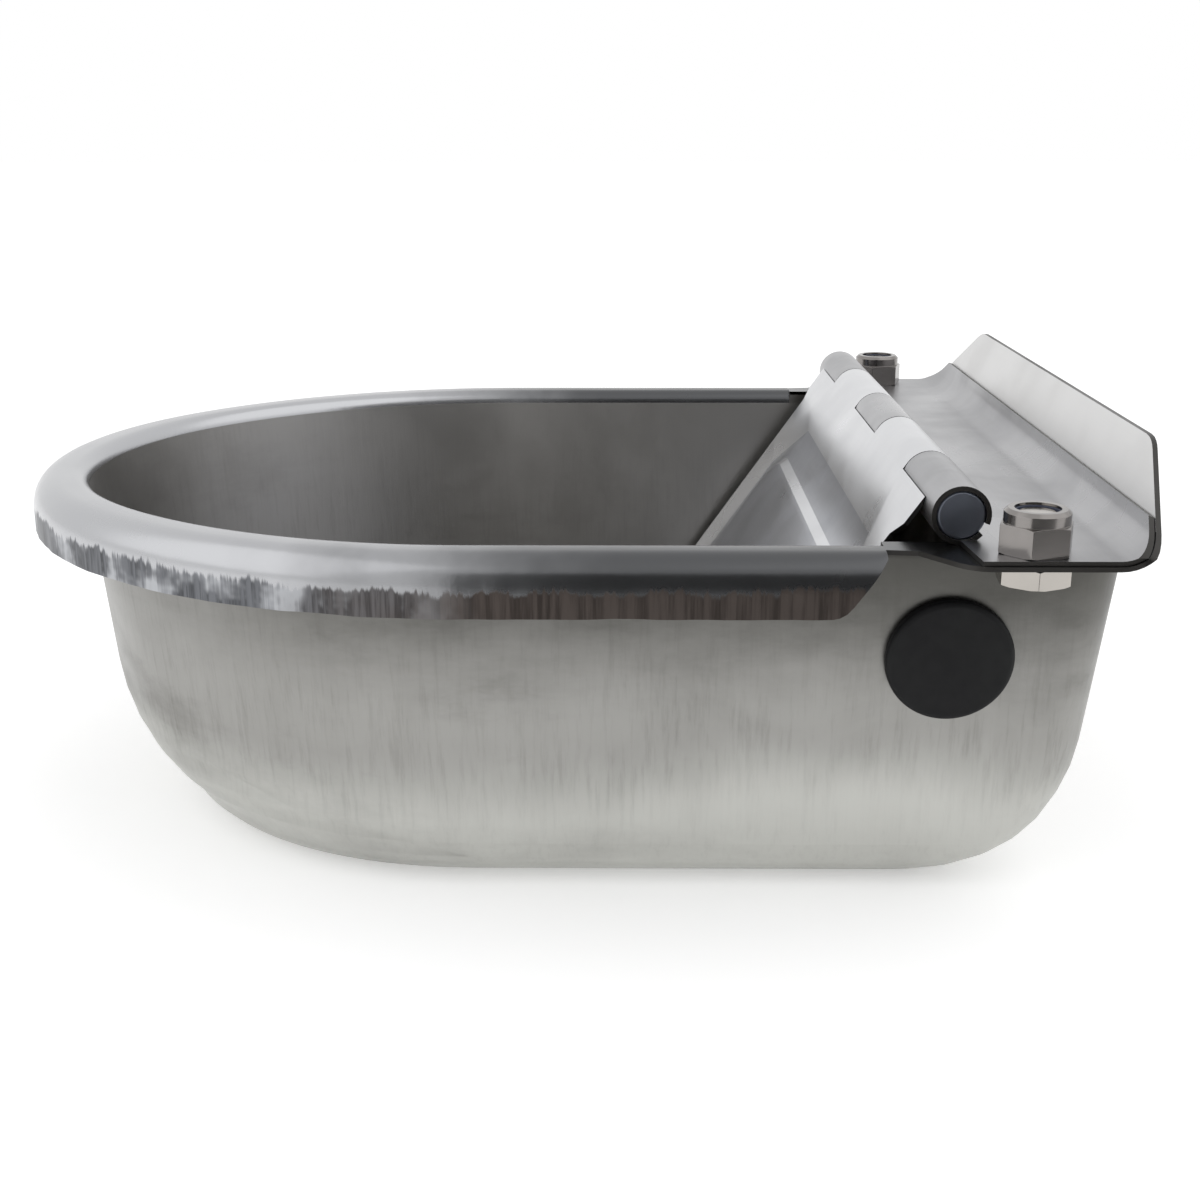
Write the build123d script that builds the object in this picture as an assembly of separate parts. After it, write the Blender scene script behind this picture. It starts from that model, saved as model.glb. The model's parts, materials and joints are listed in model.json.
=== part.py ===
"""Livestock drinking bowl with a float valve behind a hinged guard flap.

Millimetres, +Z up.  The origin is on the ground under the middle of the bowl.  Animals drink at
the -Y side, the turned-up rear edge is at +Y, and the water inlet comes through the -X wall.
"""
from build123d import *
from math import acos, cos, degrees, pi, radians, sin, sqrt, tan
import os

# ---- sheet metal and fits ----
sheet = 1.2                     # thickness of every pressed steel sheet
running_fit = 0.05              # radial clearance of a pin in its hole
free_gap = 0.3                  # gap between pieces that move past each other
skin_gap = 0.1                  # gap between a seated piece and a pressed wall
cut_length = 12.0               # length of a block that only cuts through a sheet
large_block = 400.0             # size of a block that only trims a whole region
tolerance = 0.1                 # used to pick out edges and corners by their place

# ---- bowl body ----
wall_half_width = 109.5         # outer face of the side walls under the rim
wall_top_z = 94.7               # height where the walls end and the rim starts
wall_draft = 5.5                # lean of the walls, degrees
front_centre_y = -16.7          # where the straight sides end and the rounded front starts
front_reach = 122.2             # from there to the front of the wall
shoulder_overrun = 7.8          # how far the shoulder arcs' full circles reach past the front
rear_wall_y = 147.0             # outer face of the rear wall under the rim
side_floor_radius = 22.0        # bend from the side walls to the floor
end_floor_radius = 47.0         # bend from the front and rear walls to the floor
rear_corner_radius = 14.0       # upright corners between side and rear walls
bend_steps = 9                  # bands that make up the floor bend

# ---- rolled rim ----
rim_inner_radius = 3.0          # underside radius where the wall turns outward
rim_flat = 3.5                  # level stretch across the crest
rim_roll_radius = 8.0           # top radius where the rim turns down
skirt_depth = 7.0               # straight skirt under the roll
skirt_end_y = 80.5              # where the skirt's lower edge stops
skirt_cut_run = 8.5             # how far the slanted cut runs back from there
skirt_end_fillet = 6.0

# ---- bolt ears and turned-up rear edge ----
ear_half_width = 131.0
ear_start_y = 89.5              # where the flange begins to flare
ear_full_y = 102.0              # where it reaches its full width
ear_step = 1.0                  # outward step where the flare starts
ear_fillet = 10.0
rear_bend_start_y = 136.6
rear_bend_radius = 11.0         # outer radius of the bend
rear_lean = 20.0                # lean of the turned-up edge from upright, degrees
rear_top_z = 122.3
rear_top_half_width = 96.0
rear_end_rise = 2.0             # height of the square foot of its slanted ends
rear_top_fillet = 10.0
rear_lead = 3.0                 # level run in front of a bend, inside the plate it joins

# ---- hinge ----
hinge_y = 103.3
rod_radius = 6.0
rod_length = 222.8
rod_chamfer = 0.6
end_knuckle_length = 41.5       # the bracket's two outer knuckles
flap_knuckle_length = 49.5      # the flap's two knuckles
knuckle_gap = 0.6
curl_opening = 24.0             # degrees left open where a curl meets its own sheet
bracket_curl_end = -30.0        # direction of the bracket curls' opening, degrees
flap_curl_end = 78.0            # the same for the flap's curls, past the flap's own normal

# ---- hinge bracket ----
bracket_edge_gap = 0.5          # how far its edge stays inside the ear's
bracket_front_y = 104.8         # front end of its straight side edges
bracket_corner_fillet = 6.0
lip_rise = 2.6                  # straight lip past the rear bend

# ---- guard flap ----
flap_slope = 55.0               # degrees below level when closed
flap_top_half_width = 101.5
flap_half_width = 97.0
flap_bottom_half_width = 90.0
flap_shoulder = 15.0            # distance down the flap to the top of its joggle
flap_joggle_run = 6.0
flap_joggle_depth = 3.0
flap_taper_start = 78.0
flap_bottom_fillet = 36.0
joggle_margin = 8.0             # flat strip left beside the joggle
joggle_chamfer = 18.0
panel_top = 36.0                # distance down to the raised inner panel
panel_half_width = 80.0
panel_bottom_margin = 20.0
panel_rise = 1.6
panel_bevel = 3.0
panel_corner = 12.0

# ---- ear bolts and lock nuts ----
bolt_edge_distance = 9.5        # from an ear's side edge in to its bolt
bolt_y = 118.7
bolt_radius = 5.0
bolt_head_flats = 16.0
bolt_head_height = 5.0
bolt_hole_radius = 5.4
bolt_end_recess = 0.9           # how far the bolt's end stays below the nut's top
bolt_end_chamfer = 0.8
nut_flats = 16.0
nut_height = 10.6
nut_hex_height = 7.2
nut_collar_radius = 7.8
nut_collar_chamfer = 0.9
nut_lip_radius = 5.4
nut_lip_height = 0.7
nylon_height = 2.6
nylon_outer_radius = 6.6
head_turn = -5.0                # turn of the bolt heads, degrees
nut_turn = -18.5                # turn of the nuts, degrees
hex_chamfer = 0.9               # how far a hexagon's turned-down corners reach in
hex_corner_drop = 0.35          # and how far they reach down

# ---- inlet holes and plug ----
inlet_y = 103.3
inlet_z = 68.8
inlet_hole_radius = 10.8
plug_head_radius = 16.0
plug_head_height = 3.2
plug_flange_radius = 13.0
plug_flange_height = 3.0
plug_flange_taper = 3.2         # how far the flange behind the wall narrows
plug_hollow_radius = 7.5
plug_edge_radius = 1.5

# ---- wall fixing holes ----
fixing_hole_radius = 4.5
fixing_hole_spacing = 110.0
fixing_hole_z = 76.0

# ---- float valve, measured along its own axis from the wall's outer face ----
shank_radius = 10.48            # G 1/2 thread
shank_length = 21.0
shank_bore_radius = 6.0
shank_chamfer = 1.0
shank_groove = 0.5              # width and depth of the groove outside the nut
washer_height = 2.0
washer_radius = 15.0
washer_bore_radius = 10.6
ring_height = 1.5               # flat ring under the shank's nut
shank_nut_flats = 27.0
shank_nut_height = 6.0
collar_radius = 15.5
collar_height = 4.5
barrel_radius = 11.0
barrel_end = 34.0
chamber_radius = 8.0
seat_height = 4.0
seat_orifice_radius = 2.4
seat_lip_radius = 4.0
seat_lip_height = 1.2
seat_lip_slope = 0.6
seat_fit = 0.02                 # radial gap of the pressed-in seat
plunger_length = 32.0
plunger_seal_radius = 6.5
plunger_seal_height = 2.0
plunger_slot_length = 6.4
plunger_slot_reach = 5.0        # how far past its axis the plunger is slotted
tongue_way_length = 14.0        # notch in the barrel for the lever's tongue
cheek_thickness = 4.0
cheek_root = 0.6                # where a cheek starts, outside the chamber
cheek_fillet = 4.0
cheek_start = 22.0
cheek_end = 46.0
cheek_drop = 19.0

# ---- lever and float ----
pivot_depth = 40.0              # pivot's distance in from the wall
pivot_drop = 14.0               # pivot's distance under the plunger's axis
lever_pin_radius = 2.0
lever_pin_head = 3.4
lever_pin_head_height = 1.5
lever_pin_tail = 4.0
lever_thickness = 5.0
lever_hub_radius = 4.6
tongue_width = 3.0
tongue_tip_radius = 2.6
float_drop_angle = 14.0         # arm below level when the bowl is empty
arm_neck_depth = 7.0
boss_start = 9.0
boss_length = 14.0
boss_radius = 5.5
boss_floor = 2.0                # solid end of the boss in front of the rod
screw_share = 0.6               # place of the clamp screw along the boss
screw_radius = 2.0
screw_head_radius = 4.5
screw_head_height = 3.0
screw_shank_length = 2.4
float_rod_radius = 3.0
float_reach = 95.0              # pivot to the middle of the float
float_radius = 20.0
float_length = 60.0
float_end_radius = 9.0
float_nut_flats = 10.0
float_nut_height = 5.0
float_rod_overrun = 3.0
split_pin_radius = 0.6
split_pin_length = 9.0
split_pin_eye_radius = 1.6

# ---- worked-out places ----
draft = radians(wall_draft)
shoulder_shift = front_reach - wall_half_width + shoulder_overrun   # arc centres past the middle
flange_z = wall_top_z + rim_inner_radius
flange_top_z = flange_z + sheet
bracket_top_z = flange_top_z + sheet
knuckle_inner_radius = rod_radius + running_fit
knuckle_radius = knuckle_inner_radius + sheet
hinge_z = flange_top_z + knuckle_radius
rim_width = rim_inner_radius + rim_flat + rim_roll_radius
bolt_x = ear_half_width - bolt_edge_distance
roll_end_z = flange_top_z - rim_roll_radius
skirt_bottom_z = roll_end_z - skirt_depth
middle_knuckle_length = rod_length - 2 * (end_knuckle_length + flap_knuckle_length)
slope = radians(flap_slope)
panel_level = knuckle_inner_radius - flap_joggle_depth
flap_length = (hinge_z + panel_level * cos(slope) - sheet - free_gap) / sin(slope)
nut_top_z = bracket_top_z + nut_height


def reach(top_reach, floor_radius, z, skin=0.0):
    """Distance of a wall from the body's centre at height z, for the outer or an inner skin."""
    knee_z = floor_radius * (1 - sin(draft))
    base_reach = top_reach - (wall_top_z - knee_z) * tan(draft) - floor_radius * cos(draft)
    bend_radius = floor_radius - skin
    if z >= floor_radius - bend_radius * sin(draft):
        return top_reach - (wall_top_z - z) * tan(draft) - skin / cos(draft)
    return base_reach + sqrt(max(bend_radius ** 2 - (floor_radius - z) ** 2, 0.0))


def front_curve(half, front):
    """Shoulder radius, its turn, and the nose radius and centre, for three tangent front arcs."""
    spare = half + shoulder_shift - front
    step = (shoulder_shift ** 2 + spare ** 2) / (2 * spare)
    shoulder = half + shoulder_shift
    nose_y = front_centre_y - sqrt(step ** 2 - shoulder_shift ** 2)
    return shoulder, acos(shoulder_shift / step), shoulder - step, nose_y


def front_edges(half, front):
    """Three tangent arcs round the front: right shoulder, nose and left shoulder."""
    shoulder, turn = front_curve(half, front)[:2]

    def on_shoulder(angle, side):
        x = shoulder * cos(angle) - shoulder_shift
        return (side * x, front_centre_y - shoulder * sin(angle))

    sides = [ThreePointArc((side * half, front_centre_y), on_shoulder(turn / 2, side),
                           on_shoulder(turn, side)) for side in (1, -1)]
    nose = ThreePointArc(on_shoulder(turn, 1), (0, front_centre_y - front), on_shoulder(turn, -1))
    return [sides[0], nose, sides[1]]


def body_section(z, skin=0.0):
    """Level D-shaped section of the body at height z, for the outer or the inner skin."""
    half = reach(wall_half_width, side_floor_radius, z, skin)
    front = reach(front_reach, end_floor_radius, z, skin)
    rear = reach(rear_wall_y, end_floor_radius, z, skin)
    corner = rear_corner_radius - skin
    bend = corner * (1 - sqrt(0.5))
    edges = [
        Line((half, front_centre_y), (half, rear - corner)),
        ThreePointArc((half, rear - corner), (half - bend, rear - bend), (half - corner, rear)),
        Line((half - corner, rear), (corner - half, rear)),
        ThreePointArc((corner - half, rear), (bend - half, rear - bend), (-half, rear - corner)),
        Line((-half, rear - corner), (-half, front_centre_y)),
        *front_edges(half, front),
    ]
    return Pos(0, 0, z) * make_face(edges)


def body_solid(skin=0.0):
    """The body as a filled form up to the rim, for its outer or its inner skin."""
    bend_radius = end_floor_radius - skin
    turns = [(pi / 2 - draft) * step / bend_steps for step in range(bend_steps + 1)]
    levels = [end_floor_radius - bend_radius * cos(turn) for turn in turns]
    return loft([body_section(level, skin) for level in levels + [wall_top_z]], ruled=True)


def yz_plate(points, x_from, x_to):
    """Polygon of (y, z) points made a solid between two x values."""
    face = make_face(Polyline(*points, close=True))
    placed = Plane((x_from, 0, 0), x_dir=(0, 1, 0), z_dir=(1, 0, 0)) * face
    return extrude(placed, x_to - x_from, (1, 0, 0))


def roll_profile():
    """Section of the rolled rim: x runs outward from the wall's outer face, y is height."""
    crest = rim_inner_radius + rim_flat
    mid = sqrt(0.5)
    outer_bend = rim_inner_radius + sheet
    under_roll = rim_roll_radius - sheet
    return make_face([
        ThreePointArc((-sheet, wall_top_z),
                      (rim_inner_radius - outer_bend * mid, wall_top_z + outer_bend * mid),
                      (rim_inner_radius, flange_top_z)),
        Line((rim_inner_radius, flange_top_z), (crest, flange_top_z)),
        ThreePointArc((crest, flange_top_z),
                      (crest + rim_roll_radius * mid, roll_end_z + rim_roll_radius * mid),
                      (rim_width, roll_end_z)),
        Line((rim_width, roll_end_z), (rim_width, skirt_bottom_z)),
        Line((rim_width, skirt_bottom_z), (rim_width - sheet, skirt_bottom_z)),
        Line((rim_width - sheet, skirt_bottom_z), (rim_width - sheet, roll_end_z)),
        ThreePointArc((rim_width - sheet, roll_end_z),
                      (crest + under_roll * mid, roll_end_z + under_roll * mid),
                      (crest, flange_z)),
        Line((crest, flange_z), (rim_inner_radius, flange_z)),
        ThreePointArc((rim_inner_radius, flange_z),
                      (rim_inner_radius * (1 - mid), wall_top_z + rim_inner_radius * mid),
                      (0, wall_top_z)),
        Line((0, wall_top_z), (-sheet, wall_top_z)),
    ])


def rolled_rim():
    """Rim along both sides and round the front, with the slanted ends of its skirt."""
    placed = Plane((wall_half_width, front_centre_y, 0), x_dir=(1, 0, 0), z_dir=(0, -1, 0)) \
        * roll_profile()
    turn, nose_y = front_curve(wall_half_width, front_reach)[1::2]
    shoulder_axis = Axis((-shoulder_shift, front_centre_y, 0), (0, 0, -1))
    side_end = skirt_end_y + skirt_cut_run
    side = extrude(placed, side_end - front_centre_y, (0, 1, 0)) \
        + revolve(placed, shoulder_axis, degrees(turn))
    nose = revolve(placed.rotate(shoulder_axis, degrees(turn)), Axis((0, nose_y, 0), (0, 0, -1)),
                   180 - 2 * degrees(turn))
    rim = side + nose + mirror(side, Plane.YZ)
    crest_x = wall_half_width + rim_inner_radius + rim_flat
    past_y, below_z = side_end + sheet, skirt_bottom_z - sheet
    end_shape = [(side_end, flange_z), (past_y, flange_z), (past_y, below_z),
                 (skirt_end_y, below_z), (skirt_end_y, skirt_bottom_z)]
    cut = yz_plate(end_shape, crest_x, crest_x + rim_width)
    rim = rim - cut - mirror(cut, Plane.YZ)
    corners = [edge for edge in rim.edges().filter_by(Axis.X)
               if abs(edge.center().Y - skirt_end_y) < tolerance
               and abs(edge.center().Z - skirt_bottom_z) < tolerance]
    return fillet(corners, skirt_end_fillet)


def bent_strip(outer_radius, centre_y, bottom_z, lead, straight):
    """Sheet, level for the lead and then turned up to the rear lean; wider than the ears."""
    lean = radians(rear_lean)
    centre_z = bottom_z + outer_radius
    inner_radius = outer_radius - sheet
    half_turn = (pi / 2 - lean) / 2

    def on_bend(radius, turn):
        return (centre_y + radius * sin(turn), centre_z - radius * cos(turn))

    def past_bend(radius):
        y, z = on_bend(radius, 2 * half_turn)
        return (y + straight * sin(lean), z + straight * cos(lean))

    start, end = on_bend(outer_radius, 0), on_bend(outer_radius, 2 * half_turn)
    lead_y = centre_y - lead
    face = make_face([
        Line((lead_y, bottom_z + sheet), (lead_y, bottom_z)),
        Line((lead_y, bottom_z), start),
        ThreePointArc(start, on_bend(outer_radius, half_turn), end),
        Line(end, past_bend(outer_radius)),
        Line(past_bend(outer_radius), past_bend(inner_radius)),
        Line(past_bend(inner_radius), on_bend(inner_radius, 2 * half_turn)),
        ThreePointArc(on_bend(inner_radius, 2 * half_turn), on_bend(inner_radius, half_turn),
                      on_bend(inner_radius, 0)),
        Line(on_bend(inner_radius, 0), (lead_y, bottom_z + sheet)),
    ])
    placed = Plane((-large_block / 2, 0, 0), x_dir=(0, 1, 0), z_dir=(1, 0, 0)) * face
    return extrude(placed, large_block, (1, 0, 0))


def rear_outline(inset):
    """Outline of the turned-up rear edge seen from behind, a trapezium run on below the ears."""
    foot_z = flange_top_z + rear_end_rise
    top_half = rear_top_half_width - inset
    spread = (ear_half_width - rear_top_half_width) / (rear_top_z - foot_z)
    below_z = flange_z - rear_bend_radius
    foot_half = top_half + spread * (rear_top_z - below_z)
    face = make_face(Polyline((foot_half, below_z), (top_half, rear_top_z),
                              (-top_half, rear_top_z), (-foot_half, below_z), close=True))
    top = [v for v in face.vertices() if abs(v.Y - rear_top_z) < tolerance]
    placed = Plane((0, front_centre_y, 0), x_dir=(-1, 0, 0), z_dir=(0, 1, 0)) \
        * fillet(top, rear_top_fillet)
    return extrude(placed, large_block, (0, 1, 0))


def ears_and_rear_edge():
    """One sheet bent along its rear: level ears, flared in front, and the leaning rear plate."""
    lean = radians(rear_lean)
    bend_top_z = flange_z + rear_bend_radius * (1 - sin(lean))
    straight = (rear_top_z - bend_top_z) / cos(lean) + sheet
    side_end = skirt_end_y + skirt_cut_run
    strip = bent_strip(rear_bend_radius, rear_bend_start_y, flange_z,
                       rear_bend_start_y - side_end, straight)
    crest_x = wall_half_width + rim_inner_radius + rim_flat
    right = [(crest_x, side_end), (crest_x + ear_step, ear_start_y),
             (ear_half_width, ear_full_y), (ear_half_width, large_block)]
    left = [(-x, y) for x, y in reversed(right)]
    plan = make_face(Polyline(*right, *left, close=True))
    corners = [v for v in plan.vertices() if abs(v.Y - ear_full_y) < tolerance]
    plan = extrude(fillet(corners, ear_fillet), large_block)
    return strip & rear_outline(0.0) & plan


def inlet_plane(side):
    """Plane on the wall's outer face at an inlet hole, its normal pointing out of the wall."""
    x = reach(wall_half_width, side_floor_radius, inlet_z)
    return Plane((side * x, inlet_y, inlet_z), x_dir=(0, 1, 0),
                 z_dir=(side * cos(draft), 0, -sin(draft)))


def bowl_shell():
    """Deep-drawn bowl: leaning walls, floor bends, rolled rim, bolt ears, turned-up rear edge."""
    top = body_section(wall_top_z)
    inner_top = body_section(wall_top_z, sheet)
    collar_height = flange_top_z - wall_top_z
    rear_zone = Pos(0, skirt_end_y + skirt_cut_run + large_block / 2, flange_z) \
        * Box(large_block, large_block, large_block)
    collar = extrude(top, collar_height) & rear_zone
    wall_rise = flange_z + rear_bend_radius * (1 - sin(radians(rear_lean))) - wall_top_z
    rear_strip = Pos(0, rear_wall_y - sheet / 2, wall_top_z + wall_rise / 2) \
        * Box(2 * (wall_half_width - rear_corner_radius), sheet, wall_rise)
    shell = body_solid() + collar + ears_and_rear_edge() + rear_strip
    shell = shell - body_solid(sheet) - extrude(inner_top, wall_rise)
    shell = shell + rolled_rim()
    for side in (1, -1):
        hole = inlet_plane(side) * Cylinder(inlet_hole_radius, cut_length)
        bolt_hole = Pos(side * bolt_x, bolt_y, flange_z) * Cylinder(bolt_hole_radius, cut_length)
        fixing = Pos(side * fixing_hole_spacing / 2, rear_wall_y, fixing_hole_z) \
            * Rot(90, 0, 0) * Cylinder(fixing_hole_radius, cut_length)
        shell = shell - hole - bolt_hole - fixing
    return shell


def curl(x_from, x_to, opening_at):
    """Sheet rolled round the rod, left open for a few degrees about one direction."""
    ring = Circle(knuckle_radius) - Circle(knuckle_inner_radius)
    far = 2 * knuckle_radius
    first, last = radians(opening_at - curl_opening / 2), radians(opening_at + curl_opening / 2)
    wedge = make_face(Polyline((0, 0), (far * cos(first), far * sin(first)),
                               (far * cos(last), far * sin(last)), close=True))
    placed = Plane((x_from, hinge_y, hinge_z), x_dir=(0, 1, 0), z_dir=(1, 0, 0)) * (ring - wedge)
    return extrude(placed, x_to - x_from, (1, 0, 0))


def knuckle_spans():
    """x ranges of the bracket's and the flap's knuckles along the rod."""
    half = rod_length / 2
    first = half - end_knuckle_length
    second = first - flap_knuckle_length
    gap = knuckle_gap / 2
    bracket = [(-half, -first - gap), (-second + gap, second - gap), (first + gap, half)]
    flap = [(-first + gap, -second - gap), (second + gap, first - gap)]
    return bracket, flap


def hinge_bracket():
    """Cover plate bolted on the ears, with three knuckles in front and a lip behind."""
    half = ear_half_width - bracket_edge_gap
    half_rod = rod_length / 2
    face = make_face(Polyline((0, hinge_y), (half_rod, hinge_y), (half, bracket_front_y),
                              (half, rear_bend_start_y), (0, rear_bend_start_y), close=True))
    plate = extrude(Pos(0, 0, flange_top_z) * face, sheet)
    plate = plate + mirror(plate, Plane.YZ)
    bend = rear_bend_radius - sheet - skin_gap
    lip = bent_strip(bend, rear_bend_start_y - skin_gap, flange_top_z, rear_lead, lip_rise)
    lip = lip & rear_outline(bracket_edge_gap) & Box(2 * half, large_block, large_block)
    bracket = plate + lip
    bracket_spans, flap_spans = knuckle_spans()
    for x_from, x_to in flap_spans:
        slot_length = x_to - x_from + knuckle_gap
        slot_depth = knuckle_radius + free_gap
        slot = Pos((x_from + x_to) / 2, hinge_y, flange_top_z) \
            * Box(slot_length, 2 * slot_depth, cut_length)
        bracket = bracket - slot
    for x_from, x_to in bracket_spans:
        bracket = bracket + curl(x_from, x_to, bracket_curl_end)
    for side in (1, -1):
        bracket = bracket - Pos(side * bolt_x, bolt_y, flange_top_z) \
            * Cylinder(bolt_hole_radius, cut_length)
    return bracket


def hinge_rod():
    """Plain bar through all five knuckles."""
    bar = Pos(0, hinge_y, hinge_z) * Rot(0, 90, 0) * Cylinder(rod_radius, rod_length)
    return chamfer(bar.edges().filter_by(GeomType.CIRCLE), rod_chamfer)


def flap_plane(level):
    """Plane along the closed flap: y runs up the slope from the hinge axis, z out of its face."""
    origin = (0, hinge_y - level * sin(slope), hinge_z + level * cos(slope))
    return Plane(origin, x_dir=(1, 0, 0), z_dir=(0, -sin(slope), cos(slope)))


def flap_outline():
    """Outline of the flap: a wide top strip, upright sides and a rounded, tapered foot."""
    step = flap_top_half_width - flap_half_width
    right = [(flap_top_half_width, 0), (flap_top_half_width, -flap_shoulder + step),
             (flap_half_width, -flap_shoulder), (flap_half_width, -flap_taper_start),
             (flap_bottom_half_width, -flap_length)]
    left = [(-x, y) for x, y in reversed(right)]
    face = make_face(Polyline(*right, *left, close=True))
    foot = [v for v in face.vertices() if abs(v.Y + flap_length) < tolerance]
    return fillet(foot, flap_bottom_fillet)


def joggle_outline(grow):
    """Outline of the sunk field of the flap, open at the foot, larger by grow."""
    half = flap_half_width - joggle_margin + grow
    top = -flap_shoulder - flap_joggle_run + grow
    foot = -flap_length - cut_length
    right = [(half - joggle_chamfer, top), (half, top - joggle_chamfer), (half, foot)]
    left = [(-x, y) for x, y in reversed(right)]
    return make_face(Polyline(*right, *left, close=True))


def panel_outline(grow):
    """Outline of the raised inner panel, larger by grow."""
    half = panel_half_width + grow
    top = -panel_top + grow
    foot = -flap_length + panel_bottom_margin - grow
    taper = flap_half_width - flap_bottom_half_width
    face = make_face(Polyline((half, top), (half - taper, foot), (taper - half, foot), (-half, top),
                              close=True))
    return fillet(face.vertices(), panel_corner)


def frustum(outline, wide, narrow, wide_level, narrow_level):
    """Solid between two sizes of one outline, at two levels over the hinge axis."""
    return loft([flap_plane(wide_level) * outline(wide), flap_plane(narrow_level) * outline(narrow)],
                ruled=True)


def guard_flap():
    """Hinged sheet over the valve: two knuckles, a joggled field and a raised inner panel."""
    top_level = knuckle_radius
    sunk_level = top_level - flap_joggle_depth
    flap = extrude(flap_plane(knuckle_inner_radius) * flap_outline(), sheet)
    under = frustum(joggle_outline, flap_joggle_run + sheet, sheet,
                    knuckle_inner_radius, sunk_level - sheet)
    hollow = frustum(joggle_outline, flap_joggle_run, 0, top_level, sunk_level)
    trim = extrude(flap_plane(-cut_length) * flap_outline(), 2 * cut_length)
    flap = (flap + (under & trim)) - hollow
    raised = frustum(panel_outline, panel_bevel, 0, sunk_level, sunk_level + panel_rise)
    pocket = frustum(panel_outline, panel_bevel - sheet / 2, -sheet / 2,
                     sunk_level - sheet, sunk_level - sheet + panel_rise)
    flap = (flap + raised) - pocket
    bracket_spans, flap_spans = knuckle_spans()
    clear = knuckle_radius + free_gap
    for x_from, x_to in bracket_spans:
        beyond = 2 * knuckle_gap
        drum = Pos((x_from + x_to) / 2, hinge_y, hinge_z) * Rot(0, 90, 0) \
            * Cylinder(clear, x_to - x_from + beyond)
        flap = flap - drum
    for x_from, x_to in flap_spans:
        flap = flap + curl(x_from, x_to, 90 + flap_slope + flap_curl_end)
    return flap


def hexagon_prism(flats, height, turn=0.0):
    """Hex bar standing on z = 0 with the corners of its ends turned down."""
    prism = extrude(RegularPolygon(flats / 2, 6, major_radius=False, rotation=turn), height)
    corner = flats / 2 / cos(pi / 6)
    crown = Cylinder(corner, height, align=(Align.CENTER, Align.CENTER, Align.MIN))
    top = crown.edges().filter_by(GeomType.CIRCLE)
    crown = chamfer(top, hex_corner_drop, hex_chamfer)
    return prism & crown


def at_both_ears(piece):
    """Two copies of a piece, one over each bolt ear."""
    copies = [Pos(side * bolt_x, bolt_y, 0) * piece for side in (1, -1)]
    return Compound(children=copies)


def flange_bolt():
    """Hex bolt put in from under the ear."""
    head = Pos(0, 0, flange_z - bolt_head_height) \
        * hexagon_prism(bolt_head_flats, bolt_head_height, head_turn)
    length = nut_top_z - bolt_end_recess - flange_z
    shank = Pos(0, 0, flange_z) * Cylinder(bolt_radius, length,
                                           align=(Align.CENTER, Align.CENTER, Align.MIN))
    return chamfer((head + shank).edges().group_by(Axis.Z)[-1], bolt_end_chamfer)


def lock_nut():
    """Hex nut with a round collar that holds the locking ring."""
    bottom = (Align.CENTER, Align.CENTER, Align.MIN)
    body = hexagon_prism(nut_flats, nut_hex_height, nut_turn)
    collar = Cylinder(nut_collar_radius, nut_height, align=bottom)
    collar = chamfer(collar.edges().group_by(Axis.Z)[-1], nut_collar_chamfer)
    nut = body + collar
    nut = nut - Cylinder(bolt_radius + running_fit, nut_height, align=bottom)
    nut = nut - Pos(0, 0, nut_height - nut_lip_height - nylon_height) \
        * Cylinder(nylon_outer_radius + running_fit, nylon_height, align=bottom)
    nut = nut - Pos(0, 0, nut_height - nut_lip_height) \
        * Cylinder(nut_lip_radius, nut_lip_height, align=bottom)
    return Pos(0, 0, bracket_top_z) * nut


def lock_nut_insert():
    """Nylon locking ring in the nut's collar."""
    bottom = (Align.CENTER, Align.CENTER, Align.MIN)
    ring = Cylinder(nylon_outer_radius, nylon_height, align=bottom) \
        - Cylinder(bolt_radius + running_fit, nylon_height, align=bottom)
    return Pos(0, 0, nut_top_z - nut_lip_height - nylon_height) * ring


def turned(points):
    """Solid of revolution about local z from (radius, height) points."""
    face = make_face(Polyline(*[(r, 0, z) for r, z in points], close=True))
    return revolve(face, Axis.Z, 360)


def inlet_plug():
    """Rubber plug that closes the unused inlet hole in the +X wall."""
    neck = inlet_hole_radius - skin_gap
    back = -sheet - skin_gap
    plug = turned([(0, skin_gap), (0, skin_gap + plug_head_height),
                   (plug_head_radius, skin_gap + plug_head_height), (plug_head_radius, skin_gap),
                   (neck, skin_gap), (neck, back), (plug_flange_radius, back),
                   (plug_flange_radius - plug_flange_taper, back - plug_flange_height),
                   (plug_hollow_radius, back - plug_flange_height),
                   (plug_hollow_radius, skin_gap)])
    plug = fillet(plug.edges().filter_by(GeomType.CIRCLE).sort_by(Axis.Z)[-1:], plug_edge_radius)
    return inlet_plane(1) * plug


def valve_stations():
    """Distances in from the wall of the valve's faces: washer, collar, seat and plunger."""
    washer_back = sheet + washer_height
    collar_back = washer_back + collar_height
    seat_back = collar_back + seat_height
    return washer_back, collar_back, seat_back


def lever_travel():
    """Angle in radians that the float arm turns from empty to full."""
    return 2 * draft


def plunger_travel():
    """Distance that the plunger slides while the float arm turns."""
    return pivot_drop * 2 * sin(lever_travel() / 2)


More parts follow.
